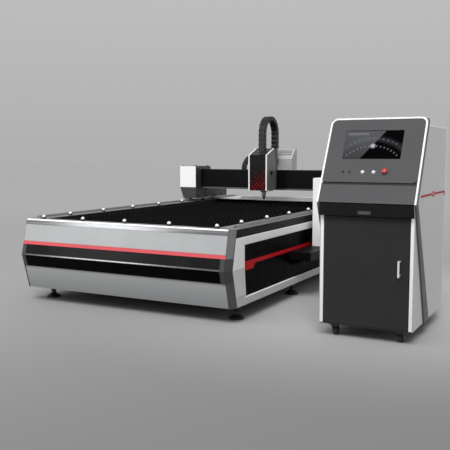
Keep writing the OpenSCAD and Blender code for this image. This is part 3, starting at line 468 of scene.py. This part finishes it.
def cover_paint():
    """Grey rear cover, with painted shade inside, so that its vents show dark."""
    m = paint("cover_grey", srgb(182, 183, 185), 0.42)
    x, y, z = m.axis("X"), m.axis("Y"), m.axis("Z")
    low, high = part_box("carriage_cover")
    fold, slope, wall = low.z + 0.143, 0.136 / 0.120, 0.0015
    rise = m.times(m.minus(y, low.y), slope)
    under_slope = m.under(m.minus(m.minus(z, fold), rise), -2 * wall)
    # Painted shade on the faces inside the cover.
    inside = m.both(under_slope, m.between(x, low.x + wall, high.x - wall),
                    m.between(y, low.y + wall, high.y - wall), m.under(z, high.z - wall))
    return m.repaint(inside, srgb(52, 52, 54))


def guide_metal():
    """Grey lower lip and a dark rail on top of the beam."""
    m = metal("guide_metal", srgb(112, 112, 115), 0.36, (0.03, 1.0, 1.0))
    above_lip = 1.25
    return m.repaint(m.over(m.axis("Z"), above_lip), srgb(40, 40, 42))


def ball_unit():
    """White balls in dark cups."""
    m = moulded("ball_unit", srgb(244, 244, 244), 0.2, 0.05)
    cup_top = RIM + 0.0182
    return m.repaint(m.under(m.axis("Z"), cup_top), srgb(62, 62, 65))


def screen_glass():
    """Dark display: a painted reflection greys it left of a slanted line, and a plain desktop shows lit arcs
    with small round icons and short bars.
    """
    m = Material("screen_glass")
    half, foot, tall, border = 0.2385, 0.391, 0.262, 0.004
    u = m.past("X", NOSE.x - 0.013)
    v = m.minus(on_lean(m)[0], foot)

    # A painted reflection: grey to the left of a slanted line, black to its right
    slant = m.minus(u, m.times(v, 0.8 * half / tall))
    left = m.under(slant, -0.4 * half, 0.002)
    grey = m.mix(m.spread(v, 0.0, tall), srgb(56, 56, 58), srgb(80, 81, 83))
    m.set(Base_Color=m.mix(left, srgb(2, 2, 3), grey))

    # A misty arc, and two rows of icons along it
    radius, crown, icon_turn = 0.36, 0.185, 0.11
    drop = m.plus(v, radius - crown)
    off = m.minus(m.length(u, drop), radius)
    mist = m.both(m.under(m.absolute(off), 0.0, 0.034), m.noise(42.0, 4.0, 0.7))
    m.repaint(m.times(mist, 0.6), srgb(112, 114, 118))
    turn = m.divide(m.calc("ARCTAN2", u, drop), icon_turn)
    icon_u = m.minus(m.fraction(m.plus(turn, 8.5)), 0.5)
    for depth, size in ((0.004, 0.16), (-0.066, 0.22)):
        icon_v = m.divide(m.minus(off, depth), icon_turn * radius)
        icons = m.both(m.under(m.length(icon_u, icon_v), size, 0.03), m.under(m.absolute(u), 0.88 * half))
        m.repaint(m.times(icons, 0.4), srgb(126, 128, 132))

    # A bright spot in the middle, bars at the upper left and a dark border
    spot = m.length(u, m.minus(v, 0.46 * tall))
    m.repaint(m.times(m.spread(spot, 0.03, 0.004, smooth=True), 0.8), srgb(190, 192, 196))
    lines = m.under(m.fraction(m.divide(v, 0.013)), 0.4)
    bars = m.both(m.between(u, -0.92 * half, -0.2 * half), m.between(v, 0.84 * tall, 0.93 * tall), lines)
    m.repaint(m.times(bars, 0.6), srgb(140, 141, 144))
    m.repaint(m.either(m.over(v, tall - border), m.under(v, border)), srgb(8, 8, 9))
    return m.set(Roughness=m.patches(12.0, 2.0, 0.1, 0.16), Specular_IOR_Level=0.04)


def sheet_paint():
    """The console's side sheets, greyer towards the floor from painted shade, with painted highlights along
    the rear and top edges.
    """
    m = paint("sheet_paint", srgb(214, 214, 215), 0.46, mottle=0.02, grain=0.2)
    y, z = m.axis("Y"), m.axis("Z")
    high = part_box("console_sides")[1]
    shading_top, shading_foot, rear_edge, top_edge = 1.4, 0.12, 0.012, 0.008
    # Painted shade, greyer towards the floor.
    m.repaint(m.spread(z, shading_top, shading_foot), srgb(200, 200, 201))
    # Painted highlights along the rear and top edges.
    edge = m.either(m.over(y, high.y - rear_edge), m.over(z, high.z - top_edge))
    return m.repaint(edge, srgb(252, 252, 252))


def post_paint():
    """White posts with painted shade, greyer towards the floor."""
    m = paint("post_white", srgb(241, 241, 241), 0.34, mottle=0.02)
    shading_top, shading_foot = 1.0, 0.12
    # Painted shade, greyer towards the floor.
    return m.repaint(m.spread(m.axis("Z"), shading_top, shading_foot), srgb(216, 216, 217))


def head_paint():
    """Grey head cover with a dark sloped lid between its trims."""
    m = paint("head_grey", srgb(112, 112, 115), 0.36)
    low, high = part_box("head_window")
    middle, half, lap = (low.x + high.x) / 2, (high.x - low.x) / 2, 0.004
    lid = m.both(m.over(m.axis("Z"), high.z - lap), m.under(m.away("X", middle), half))
    return m.repaint(lid, srgb(34, 34, 35))


by_slot = {
    "frame_paint": paint("frame_paint", srgb(46, 46, 48), 0.5),
    "slat_steel": slat_steel(),
    "light_panel": paint("light_panel", srgb(198, 199, 201), 0.34),
    "trim_silver": trim_bright(),
    "band_black": band_gloss(),
    "dark_grey": paint("dark_grey", srgb(78, 78, 80)),
    "red_paint": stripe_red(),
    "black_panel": paint("black_panel", srgb(4, 4, 5), 0.4, gloss=0.02),
    "strip_grey": paint("strip_grey", srgb(22, 22, 23), gloss=0.1),
    "rim_grey": rim_paint(),
    "rail_steel": metal("rail_steel", srgb(150, 151, 154), 0.3, (1.0, 0.03, 1.0), metallic=0.4),
    "foot_black": paint("foot_black", srgb(26, 26, 27), 0.5, grain=0.5),
    "ball_white": ball_unit(),
    "white_paint": paint("white_paint", srgb(240, 240, 240), 0.34, mottle=0.02),
    "beam_black": paint("beam_black", srgb(9, 9, 10), 0.4, gloss=0.1),
    "chain_plastic": moulded("chain_plastic", srgb(26, 26, 27), 0.45, 0.4),
    "window_gloss": window_dots(),
    "head_steel": metal("head_steel", srgb(186, 187, 190), 0.34, (1.0, 1.0, 0.05), metallic=0.45),
    "nozzle_brass": metal("nozzle_brass", srgb(140, 104, 66), 0.3, (1.0, 1.0, 20.0)),
    "panel_grey": panel_paint(),
    "screen_glass": screen_glass(),
    "fitting_chrome": metal("fitting_chrome", CHROME, 0.2, streak=0.03, metallic=0.3),
    "door_black": paint("door_black", srgb(34, 34, 35), 0.5, grain=0.45, gloss=0.35),
    "button_red": moulded("button_red", srgb(194, 28, 24), 0.3, 0.1, 0.4),
    "wheel_rubber": moulded("wheel_rubber", srgb(32, 32, 33), 0.7, 0.5),
}
# Nodes whose finish isn't the usual one of their slot
by_node = {
    "end_caps": cap_paint(),
    "console_posts": post_paint(),
    "corner_posts": corner_paint(),
    "front_panels": front_paint(),
    "head_cover": head_paint(),
    "drawer": paint("drawer_black", srgb(12, 12, 13), 0.4, gloss=0.25),
    "console_shell": shell_paint(),
    "console_strips": paint("console_strip_grey", srgb(78, 78, 80)),
    "panel_fittings": fitting_metal(),
    "scrap_trays": paint("tray_black", srgb(22, 22, 23), 0.5),
    "slat_combs": paint("comb_black", srgb(16, 16, 17), 0.5, gloss=0.2),
    "side_frames": side_paint(),
    "side_shelf": paint("shelf_black", srgb(10, 10, 11), gloss=0.1),
    "console_sides": sheet_paint(),
    "beam_guides": guide_metal(),
    "saddles": paint("saddle_grey", srgb(56, 56, 58)),
    "carriage_cover": cover_paint(),
}
dark_screw = metal("dark_screw", srgb(58, 58, 61), 0.36)
bright_screw = metal("bright_screw", srgb(190, 191, 194), 0.24)


def dress(piece, material):
    piece.data.materials.clear()
    piece.data.materials.append(material.data)


for name, piece in nodes.items():
    dress(piece, by_node[name] if name in by_node else by_slot[slot_of[name]])


# Rounded edges on the sheet metal and castings, which the light catches

EDGE_WIDTHS = {
    "end_caps": 0.006,
    "saddles": 0.004,
    "front_panels": 0.003,
    "side_cabinet": 0.006,
    "side_shelf": 0.003,
    "beam": 0.004,
    "door": 0.004,
    "drawer": 0.002,
    "laser_source": 0.004,
    "console_posts": 0.003,
    "black_panels": 0.001,
    "side_strips": 0.002,
    "side_frames": 0.006,
    "head_trims": 0.003,
    "bearing_blocks": 0.002,
    "rear_cover": 0.003,
    "console_sides": 0.003,
}


def soften(name, width, angle=40):
    """Rounds the edges at which a node's faces turn by more than an angle."""
    piece = nodes[name]
    weld = piece.modifiers.new("join", "WELD")
    weld.merge_threshold = 1e-5
    bevel = piece.modifiers.new("edge", "BEVEL")
    bevel.width = width
    bevel.segments = 2
    bevel.limit_method = "ANGLE"
    bevel.angle_limit = math.radians(angle)
    piece.modifiers.new("shading", "WEIGHTED_NORMAL")


for name, width in EDGE_WIDTHS.items():
    soften(name, width)
soften("front_band", 0.003, 20)  # its shallow crease too


# Detail pieces, built from turned, bevelled and swept forms

class Shape:
    """Collects mesh code into one piece."""

    def __init__(self, name):
        self.name = name
        self.mesh = bmesh.new()

    def vert(self, place):
        return self.mesh.verts.new(place)

    def bridge(self, rings, steps):
        """Joins each ring to the next; a ring of one point is a tip."""
        for low, high in zip(rings, rings[1:]):
            for i in range(steps):
                j = (i + 1) % steps
                corners = [low[i % len(low)], low[j % len(low)], high[j % len(high)], high[i % len(high)]]
                self.mesh.faces.new(list(dict.fromkeys(corners)))

    def close(self, first, last):
        """Fills the rings at both ends."""
        self.mesh.faces.new(list(reversed(first)))
        self.mesh.faces.new(last)

    def turn(self, place, out, profile, steps=24):
        """Turns an outline of radius and height about an axis; a radius may depend on the angle."""
        stand = Matrix.Translation(place) @ Vector(out).to_track_quat("Z", "Y").to_matrix().to_4x4()
        rings = []
        for radius, height in profile:
            if radius == 0:
                rings.append([self.vert(stand @ Vector((0, 0, height)))])
                continue
            ring = []
            for i in range(steps):
                angle = 2 * math.pi * i / steps
                r = radius(angle) if callable(radius) else radius
                ring.append(self.vert(stand @ Vector((r * math.cos(angle), r * math.sin(angle), height))))
            rings.append(ring)
        self.bridge(rings, steps)

    def block(self, low, high, edge=0.001):
        """A block with rounded edges between two corners."""
        low, high = Vector(low), Vector(high)
        made = bmesh.ops.create_cube(self.mesh, size=1.0)["verts"]
        for vert in made:
            vert.co = Vector((low[k] + (vert.co[k] + 0.5) * (high[k] - low[k]) for k in range(3)))
        edges = list({e for vert in made for e in vert.link_edges})
        bmesh.ops.bevel(self.mesh, geom=edges, offset=edge, segments=2, affect="EDGES", profile=0.5)

    def sweep(self, path, radius, steps):
        """A round bar along a path of points, closed at both ends."""
        path = [Vector(point) for point in path]
        rings = []
        side = None
        for i, point in enumerate(path):
            ahead = (path[min(i + 1, len(path) - 1)] - path[max(i - 1, 0)]).normalized()
            if side is None:
                side = ahead.orthogonal().normalized()
            side = (side - ahead * side.dot(ahead)).normalized()
            other = ahead.cross(side)
            ring = []
            for k in range(steps):
                angle = 2 * math.pi * k / steps
                ring.append(self.vert(point + radius * (math.cos(angle) * side + math.sin(angle) * other)))
            rings.append(ring)
        self.bridge(rings, steps)
        self.close(rings[0], rings[-1])

    def extrude(self, outline, along):
        """A closed outline of points, extruded by a vector."""
        along = Vector(along)
        low = [self.vert(Vector(point)) for point in outline]
        high = [self.vert(Vector(point) + along) for point in outline]
        self.bridge([low, high], len(outline))
        self.close(low, high)

    def finish(self, material, body="machine"):
        """Makes the piece, smooth but for its corners, and lets it ride on a body."""
        bmesh.ops.recalc_face_normals(self.mesh, faces=self.mesh.faces)
        data = bpy.data.meshes.new(self.name)
        self.mesh.to_mesh(data)
        self.mesh.free()
        for face in data.polygons:
            face.use_smooth = True
        data.set_sharp_from_angle(angle=math.radians(32))
        made = add_object(self.name, data)
        dress(made, material)
        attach(made, body)
        return made


# Outlines of turned pieces, as radius and height

def hexagon(r):
    """A radius that follows a hexagon's sides."""
    def radius(angle):
        return r * math.cos(math.pi / 6) / math.cos(angle % (math.pi / 3) - math.pi / 6)
    return radius


def knurled(r):
    """A radius with fine ridges."""
    def radius(angle):
        return r + 0.0006 * math.cos(36 * angle)
    return radius


def screw_head(r):
    """A button head with a hexagon socket."""
    h = 0.62 * r
    socket = hexagon(0.5 * r)
    return [(0, 0), (r, 0), (r, 0.3 * h), (0.88 * r, 0.72 * h), (0.62 * r, h), (socket, h),
            (socket, 0.35 * h), (0, 0.35 * h)]


def cap_screw(r):
    """A cylinder head with a hexagon socket."""
    h = 1.1 * r
    socket = hexagon(0.56 * r)
    return [(0, 0), (r, 0), (r, 0.86 * h), (0.9 * r, h), (socket, h), (socket, 0.45 * h), (0, 0.45 * h)]


def nut(r, h, bore):
    """A hexagon nut with chamfered corners, on a washer."""
    washer, thick = 1.12 * r, 0.2 * h
    return [(bore, 0), (washer, 0), (washer, thick), (hexagon(r), thick), (hexagon(r), h - 0.1 * h),
            (0.84 * r, h), (bore, h), (bore, 0)]


FLUSH_SCREW = [(0, 0), (0.008, 0), (0.008, 0.0006), (hexagon(0.0042), 0.0006), (hexagon(0.0042), 0.0001),
               (0, 0.0001)]
RAIL_PLUG = [(0, 0), (0.0065, 0), (0.0065, 0.0001), (0.005, 0.00015), (0, 0.00015)]
LOCK = [(0, 0), (0.016, 0), (0.016, 0.004), (0.013, 0.006), (0.009, 0.006), (0.009, 0.003), (0, 0.003)]
CONNECTOR = [(0, 0), (0.014, 0), (0.014, 0.006), (0.011, 0.008), (0.007, 0.008), (0.007, 0.003), (0, 0.003)]
KNOB = [(0, 0), (0.027, 0), (0.027, 0.003), (0.024, 0.005), (0.018, 0.005), (0.017, 0.013), (0.014, 0.015),
        (0, 0.015)]
LENS_KNOB = [(0, 0), (0.012, 0), (0.012, 0.006), (0.009, 0.009), (0, 0.009)]
AXLE_BOLT = [(0, 0), (0.0105, 0), (0.0105, 0.0012), (hexagon(0.0085), 0.0012), (hexagon(0.0085), 0.005),
             (0.0065, 0.0062), (0, 0.0062)]


def screws(name, material, spots, profile, body="machine"):
    """One piece of many fasteners, each with a place and the direction that it points."""
    shape = Shape(name)
    for place, out in spots:
        shape.turn(place, out, profile)
    shape.finish(material, body)


def bed_details():
    """Nuts on the feet, screws on the panels and the rims, plugs in the guide rails, and racks."""
    foot_x, frame_foot, pad_top, bolt = 1.085, 0.1498, 0.0765, 0.0142
    nuts = Shape("foot_nuts")
    for side in SIDES:
        for y in spaced(0.38, 1.31, 4):
            nuts.turn(at(side * foot_x, y, frame_foot), DOWN, nut(0.027, 0.02, bolt))
            nuts.turn(at(side * foot_x, y, pad_top), UP, nut(0.024, 0.018, bolt))
    nuts.finish(dark_screw)

    panel_x, panel_end, heights = 1.18, 4.67, (0.250, 0.668)
    spots = [(at(side * panel_x, y, z), (side, 0, 0))
             for side in SIDES for y in spaced(0.40, 0.45, 10) for z in heights]
    spots += [(at(x, panel_end, z), REAR) for x in (-0.95, -0.57, -0.19, 0.19, 0.57, 0.95) for z in heights]
    screws("panel_screws", dark_screw, spots, screw_head(0.008))

    rim_x = 1.176
    spots = [(at(side * rim_x, y, RIM), UP) for side in SIDES for y in spaced(0.33, 0.33, 14)]
    screws("rim_screws", paint("rim_screw", srgb(104, 104, 107), 0.4), spots, FLUSH_SCREW)

    rail_x, rail_top = 1.12, RIM + 0.016
    spots = [(at(side * rail_x, y, rail_top), UP) for side in SIDES for y in spaced(0.28, 0.12, 37)]
    screws("rail_plugs", dark_screw, spots, RAIL_PLUG)
    racks()


def racks():
    """Toothed racks that lie on the rims beside the guide rails."""
    shape = Shape("bed_racks")
    middle, start, end, pitch, height = 1.166, 0.25, 4.64, 0.02, 0.016
    count = int((end - start) / pitch)
    for side in SIDES:
        inner, outer, tip = (side * (middle + offset) for offset in (-0.007, 0.002, 0.008))
        outline = [at(inner, start, RIM)]
        for y in spaced(start, pitch, count):
            outline += [at(outer, y, RIM), at(tip, y + 0.3 * pitch, RIM), at(tip, y + 0.6 * pitch, RIM),
                        at(outer, y + 0.9 * pitch, RIM)]
        outline.append(at(inner, start + count * pitch, RIM))
        shape.extrude(outline, (0, 0, height))
    shape.finish(by_slot["rail_steel"])


def louvres(name, places, along, out, length, material):
    """Pressed louvres: a curved hood over each slot, closed at its ends."""
    shape = Shape(name)
    along, out, up = Vector(along), Vector(out), Vector(UP)
    height, depth, lift, steps = 0.016, 0.009, 0.0004, 7
    for place in places:
        sections = []
        for end, reach in ((-0.5, 0.0), (-0.46, 1.0), (0.46, 1.0), (0.5, 0.0)):
            section = []
            for k in range(steps):
                turn = math.pi / 2 * k / (steps - 1)
                section.append(shape.vert(place + along * end * length + up * (height * math.cos(turn))
                                          + out * (lift + depth * reach * math.sin(turn))))
            sections.append(section)
        for a, b in zip(sections, sections[1:]):
            for k in range(steps - 1):
                shape.mesh.faces.new([a[k], a[k + 1], b[k + 1], b[k]])
    made = shape.finish(material)
    sheet = made.modifiers.new("sheet", "SOLIDIFY")
    sheet.thickness = 0.0015
    sheet.offset = 0.0


def cabinet_details():
    """Hinges, lock and louvres on the white side cabinet."""
    face, hinge_y, leaf_start, leaf_end = 1.426, 1.882, 1.884, 1.915
    fittings = Shape("cabinet_fittings")
    for z in (0.62, 1.13):
        pin = [at(face + 0.006, hinge_y, height) for height in spaced(z - 0.04, 0.02, 5)]
        fittings.sweep(pin, 0.006, 14)
        fittings.block(at(face, leaf_start, z - 0.03), at(face + 0.003, leaf_end, z + 0.03))
    lock_y, lock_z, key_half, key_tall = 2.325, 0.88, 0.0015, 0.008
    fittings.turn(at(face, lock_y, lock_z), RIGHT, LOCK, 28)
    fittings.block(at(face + 0.002, lock_y - key_half, lock_z - key_tall),
                   at(face + 0.0055, lock_y + key_half, lock_z + key_tall), 0.0006)
    fittings.finish(bright_screw)
    vents_y = 2.12
    places = [at(face, vents_y, z) for z in spaced(0.60, 0.028, 6)]
    louvres("cabinet_louvres", places, REAR, RIGHT, 0.22, by_slot["white_paint"])


def console_rear():
    """Louvres, fan guards and screws on the console's rear."""
    face, columns = 1.305, (-0.17, 0.17)
    places = [on_console(x, face, z) for x in columns for z in spaced(1.30, 0.032, 8)]
    louvres("rear_louvres", places, RIGHT, REAR, 0.26, by_node["console_shell"])

    guards = Shape("fan_guards")
    fan_z, ring_steps, ring_wire, arm_wire, arm_angle, arm_end = 0.42, 36, 0.0016, 0.0018, 0.785, 0.086
    for x in columns:
        middle = on_console(x, face + 0.006, fan_z)
        for r in (0.02, 0.038, 0.056, 0.074):
            ring = []
            for step in range(ring_steps + 1):
                angle = step * 2 * math.pi / ring_steps
                ring.append(middle + Vector((r * math.cos(angle), 0, r * math.sin(angle))))
            guards.sweep(ring, ring_wire, 8)
        for quarter in range(4):
            angle = quarter * math.pi / 2 + arm_angle
            c, s = math.cos(angle), math.sin(angle)
            arm = [middle + Vector((r * c, -0.003, r * s)) for r in (0.018, 0.04, 0.062, arm_end)]
            guards.sweep(arm, arm_wire, 8)
            guards.turn(middle + Vector((arm_end * c, -0.006, arm_end * s)), REAR, screw_head(0.006))
    guards.finish(bright_screw)

    spots = [(on_console(x, face, z), REAR) for x in (-0.355, 0.355) for z in (0.16, 0.53, 0.91, 1.29, 1.68)]
    screws("rear_screws", bright_screw, spots, screw_head(0.007))


def drawer_grip():
    """A frame around the drawer's grip, and the plate in it."""
    grip = Shape("drawer_grip")
    left, right, foot, top, face = -0.057, 0.047, 1.029, 1.055, 0.1185
    bar, lap = 0.004, 0.003
    bars = (((left, foot), (right, foot + bar)), ((left, top - bar), (right, top)),
            ((left, foot), (left + bar, top)), ((right - bar, foot), (right, top)))
    for (x0, z0), (x1, z1) in bars:
        grip.block(on_console(x0, face - 0.0015, z0), on_console(x1, face + 0.006, z1), 0.0008)
    grip.block(on_console(left + lap, face + 0.0045, foot + lap),
               on_console(right - lap, face + 0.0068, top - lap), 0.0006)
    grip.finish(paint("grip_grey", srgb(84, 84, 86), 0.34), "drawer")


def door_stiffeners():
    """Pressed ribs on the inside of the door."""
    ribs = Shape("door_stiffeners")
    half, sheet, crown = 0.29, 0.185, 0.197
    section = ((sheet, -0.03), (crown, -0.018), (crown, 0.018), (sheet, 0.03))
    for middle in (0.30, 0.56, 0.82):
        ribs.extrude([on_console(-half, y, middle + z) for y, z in section], (2 * half, 0, 0))
    ribs.finish(by_slot["door_black"], "door")


def laser_details():
    """Front of the laser source behind the door: plate, vents, connectors and display."""
    face = 0.42492
    plate, seat = face - 0.004, face - 0.0035
    panel = Shape("laser_panel")
    panel.block(on_console(-0.20, plate, 0.15), on_console(0.20, face - 0.0002, 0.35))
    for z in spaced(0.17, 0.009, 9):
        panel.block(on_console(-0.17, face - 0.007, z), on_console(-0.02, seat, z + 0.004), 0.0006)
    for x in spaced(0.03, 0.042, 4):
        panel.turn(on_console(x, plate, 0.20), FRONT, CONNECTOR)
    panel.block(on_console(0.02, face - 0.008, 0.26), on_console(0.17, seat, 0.32), 0.0015)
    panel.finish(bright_screw)


def gantry_details():
    """Screws on the caps and saddles, and plugs in the beam's rail."""
    cap_top, saddle_top, saddle_inner = 1.334, 1.045, 0.945
    spots = [(at(side * x, y, cap_top), UP) for side in SIDES for x in (0.98, 1.165) for y in (3.165, 3.515)]
    spots += [(at(side * saddle_inner, y, z), (-side, 0, 0))
              for side in SIDES for y in (3.20, 3.42, 3.64, 3.86) for z in (0.925, 1.015)]
    spots += [(at(side * x, y, saddle_top), UP)
              for side in SIDES for x in (0.98, 1.16) for y in (3.69, 3.84, 4.0)]
    screws("gantry_screws", dark_screw, spots, cap_screw(0.009), "gantry")
    rail_y, rail_top = 3.312, 1.294
    spots = [(at(x, rail_y, rail_top), UP) for x in spaced(-0.90, 0.06, 31)]
    screws("beam_plugs", dark_screw, spots, RAIL_PLUG, "gantry")


def carriage_details():
    """Screws on the carriage and its rear cover, and a knob under a hood on the head cover's side."""
    front, rear = 3.232, 3.82
    spots = [(at(HEAD_X + x, front, z), FRONT) for x in (-0.115, 0.115) for z in (1.09, 1.40)]
    spots += [(at(HEAD_X + x, rear, z), REAR) for x in (-0.20, -0.02, 0.16) for z in (1.32, 1.54)]
    screws("carriage_screws", bright_screw, spots, screw_head(0.007), "carriage")

    side, y, z = 0.2075, 3.090, 1.258
    knob = Shape("cover_knob")
    knob.turn(at(side, y, z), RIGHT, KNOB, 28)
    knob.finish(moulded("knob_black", srgb(10, 11, 11), 0.4, 0.2), "carriage")
    hood = Shape("cover_hood")
    half, foot, top, reach = 0.042, z + 0.030, z + 0.038, 0.016
    hood.block(at(side, y - half, foot), at(side + reach, y + half, top), 0.002)
    hood.finish(by_node["head_cover"], "carriage")


def head_details():
    """Knurled collars and the lens drawer of the cutting head."""
    y, bore, collar = 3.150, 0.045, knurled(0.0525)
    collars = Shape("head_collars")
    for z, height in ((1.018, 0.018), (1.10, 0.024), (1.19, 0.014)):
        profile = [(bore, 0), (collar, 0), (collar, height), (bore, height), (bore, 0)]
        collars.turn(at(HEAD_X, y, z), UP, profile, 72)
    collars.finish(by_slot["head_steel"], "head")
    drawer = Shape("lens_drawer")
    inner, outer, half, foot, top = HEAD_X + 0.046, HEAD_X + 0.058, 0.028, 1.130, 1.178
    drawer.block(at(inner, y - half, foot), at(outer, y + half, top), 0.002)
    drawer.turn(at(outer, y, (foot + top) / 2), RIGHT, LENS_KNOB)
    drawer.finish(dark_screw, "head")


def head_leg():
    """The front leg of the head's chain, as a copy of its mesh in place of the imported piece, which is
    hidden.
    """
    links = add_object("head_chain_links", nodes["head_chain"].data.copy())
    dress(links, by_slot["chain_plastic"])
    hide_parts("head_chain")
    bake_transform(links)


def caster_details():
    """Axle bolts on the forks and ribs on the wheels."""
    from_middle, front, rear, trail, axle = 0.270, 0.245, 0.875, 0.028, 0.037
    fork_half, wheel_half = 0.027, 0.0158
    rib_half, hub_end, rim_start, rib_depth = 0.0022, 0.0118, 0.0272, 0.0028
    for tag, hand, y in (("fl", -1, front), ("fr", 1, front), ("rl", -1, rear), ("rr", 1, rear)):
        x = hand * from_middle
        bolts = Shape("axle_bolts_" + tag)
        ribs = Shape("wheel_ribs_" + tag)
        for side in SIDES:
            bolts.turn(on_console(x + side * fork_half, y + trail, axle), (side, 0, 0), AXLE_BOLT)
            hub = on_console(x + side * wheel_half, y + trail, axle)
            for k in range(6):
                out = Vector((0, math.cos(k * math.pi / 3), math.sin(k * math.pi / 3)))
                across = Vector((0, -out.z, out.y)) * rib_half
                inner, outer = hub + out * hub_end, hub + out * rim_start
                ribs.extrude([inner - across, outer - across, outer + across, inner + across],
                             (side * rib_depth, 0, 0))
        bolts.finish(bright_screw, "caster_fork_" + tag)
        ribs.finish(by_slot["wheel_rubber"], "caster_wheel_" + tag)


bed_details()
cabinet_details()
console_rear()
drawer_grip()
door_stiffeners()
laser_details()
gantry_details()
carriage_details()
head_details()
head_leg()
caster_details()


# Stage, light and camera

def add_stage():
    """A pale floor with painted shade that darkens it towards the camera, and a painted pool of light around
    the machine.
    """
    reach = 60.0
    corners = [(-reach, -reach, 0), (reach, -reach, 0), (reach, reach, 0), (-reach, reach, 0)]
    mesh = bpy.data.meshes.new("floor")
    mesh.from_pydata(corners, [], [(0, 1, 2, 3)])
    floor = add_object("floor", mesh)
    m = Material("floor")

    def distance(x, y):
        return m.length(m.past("X", x), m.past("Y", y))

    from_front = distance(3.2, -7.6)
    # Painted shade: the floor darkens towards the spot under the camera.
    near = m.spread(from_front, 3.0, 9.0, smooth=True)
    m.set(Base_Color=m.mix(near, srgb(127, 127, 127), srgb(160, 160, 160)))
    m.repaint(m.spread(from_front, 8.0, 20.0), srgb(174, 174, 174))
    # A painted pool of light around the machine.
    m.repaint(m.spread(distance(1.2, -0.6), 3.4, 0.3, 0.0, 0.6, smooth=True), srgb(204, 204, 204))
    m.set(Roughness=0.9, Specular_IOR_Level=0.1)
    dress(floor, m)


def add_world():
    """A grey backdrop for the camera, mirrors and glass, and soft even light for the rest."""
    made = bpy.data.worlds.new("studio")
    bpy.context.scene.world = made
    made.use_nodes = True
    add, link = made.node_tree.nodes.new, made.node_tree.links.new
    made.node_tree.nodes.clear()

    place = add("ShaderNodeTexCoord")
    split = add("ShaderNodeSeparateXYZ")
    ramp = add("ShaderNodeValToRGB")
    horizon, sky = ramp.color_ramp.elements
    horizon.position, horizon.color = 0.0, srgb(176, 176, 176)
    sky.position, sky.color = 0.22, srgb(190, 190, 190)
    seen = add("ShaderNodeBackground")
    link(place.outputs["Generated"], split.inputs["Vector"])
    link(split.outputs["Z"], ramp.inputs["Fac"])
    link(ramp.outputs["Color"], seen.inputs["Color"])

    lit = add("ShaderNodeBackground")
    lit.inputs["Color"].default_value = (0.97, 0.97, 0.975, 1.0)
    lit.inputs["Strength"].default_value = 0.5

    path = add("ShaderNodeLightPath")
    shown = path.outputs["Is Camera Ray"]
    for ray in ("Is Glossy Ray", "Is Transmission Ray"):
        either = add("ShaderNodeMath")
        either.operation = "MAXIMUM"
        link(shown, either.inputs[0])
        link(path.outputs[ray], either.inputs[1])
        shown = either.outputs["Value"]
    mix = add("ShaderNodeMixShader")
    link(shown, mix.inputs["Fac"])
    link(lit.outputs["Background"], mix.inputs[1])
    link(seen.outputs["Background"], mix.inputs[2])
    link(mix.outputs["Shader"], add("ShaderNodeOutputWorld").inputs["Surface"])


def add_camera():
    """The photograph's viewing angle."""
    tilt_down, turn_left = 5.75, 27.92
    data = bpy.data.cameras.new("camera")
    data.sensor_width = 36.0
    data.lens = 56.3
    made = add_object("camera", data)
    made.location = (3.1825, -7.606, 1.5)
    made.rotation_euler = (math.radians(90 - tilt_down), 0, math.radians(turn_left))
    bpy.context.scene.camera = made


def aim(lamp, direction):
    lamp.rotation_euler = Vector(direction).to_track_quat("-Z", "Y").to_euler()


def add_sun():
    data = bpy.data.lights.new("sun", "SUN")
    data.energy = 2.1
    data.angle = math.radians(30)
    aim(add_object("sun", data), (-0.2, 0.62, -0.76))


def add_card(name, place, target, size, power):
    """A rectangular lamp that the camera doesn't see."""
    data = bpy.data.lights.new(name, "AREA")
    data.shape = "RECTANGLE"
    data.size, data.size_y = size
    data.energy = power
    lamp = add_object(name, data)
    lamp.location = place
    lamp.visible_camera = False
    aim(lamp, Vector(target) - Vector(place))


add_stage()
add_world()
add_camera()
add_sun()
add_card("card", (-1.5, -6.5, 5.0), (0.0, 0.0, 0.6), (6.0, 2.0), 120)
add_card("softbox", (-3.7, -5.9, 1.95), (-0.77, -2.24, 0.7), (1.4, 2.0), 28)
bpy.context.scene.view_settings.view_transform = "Standard"
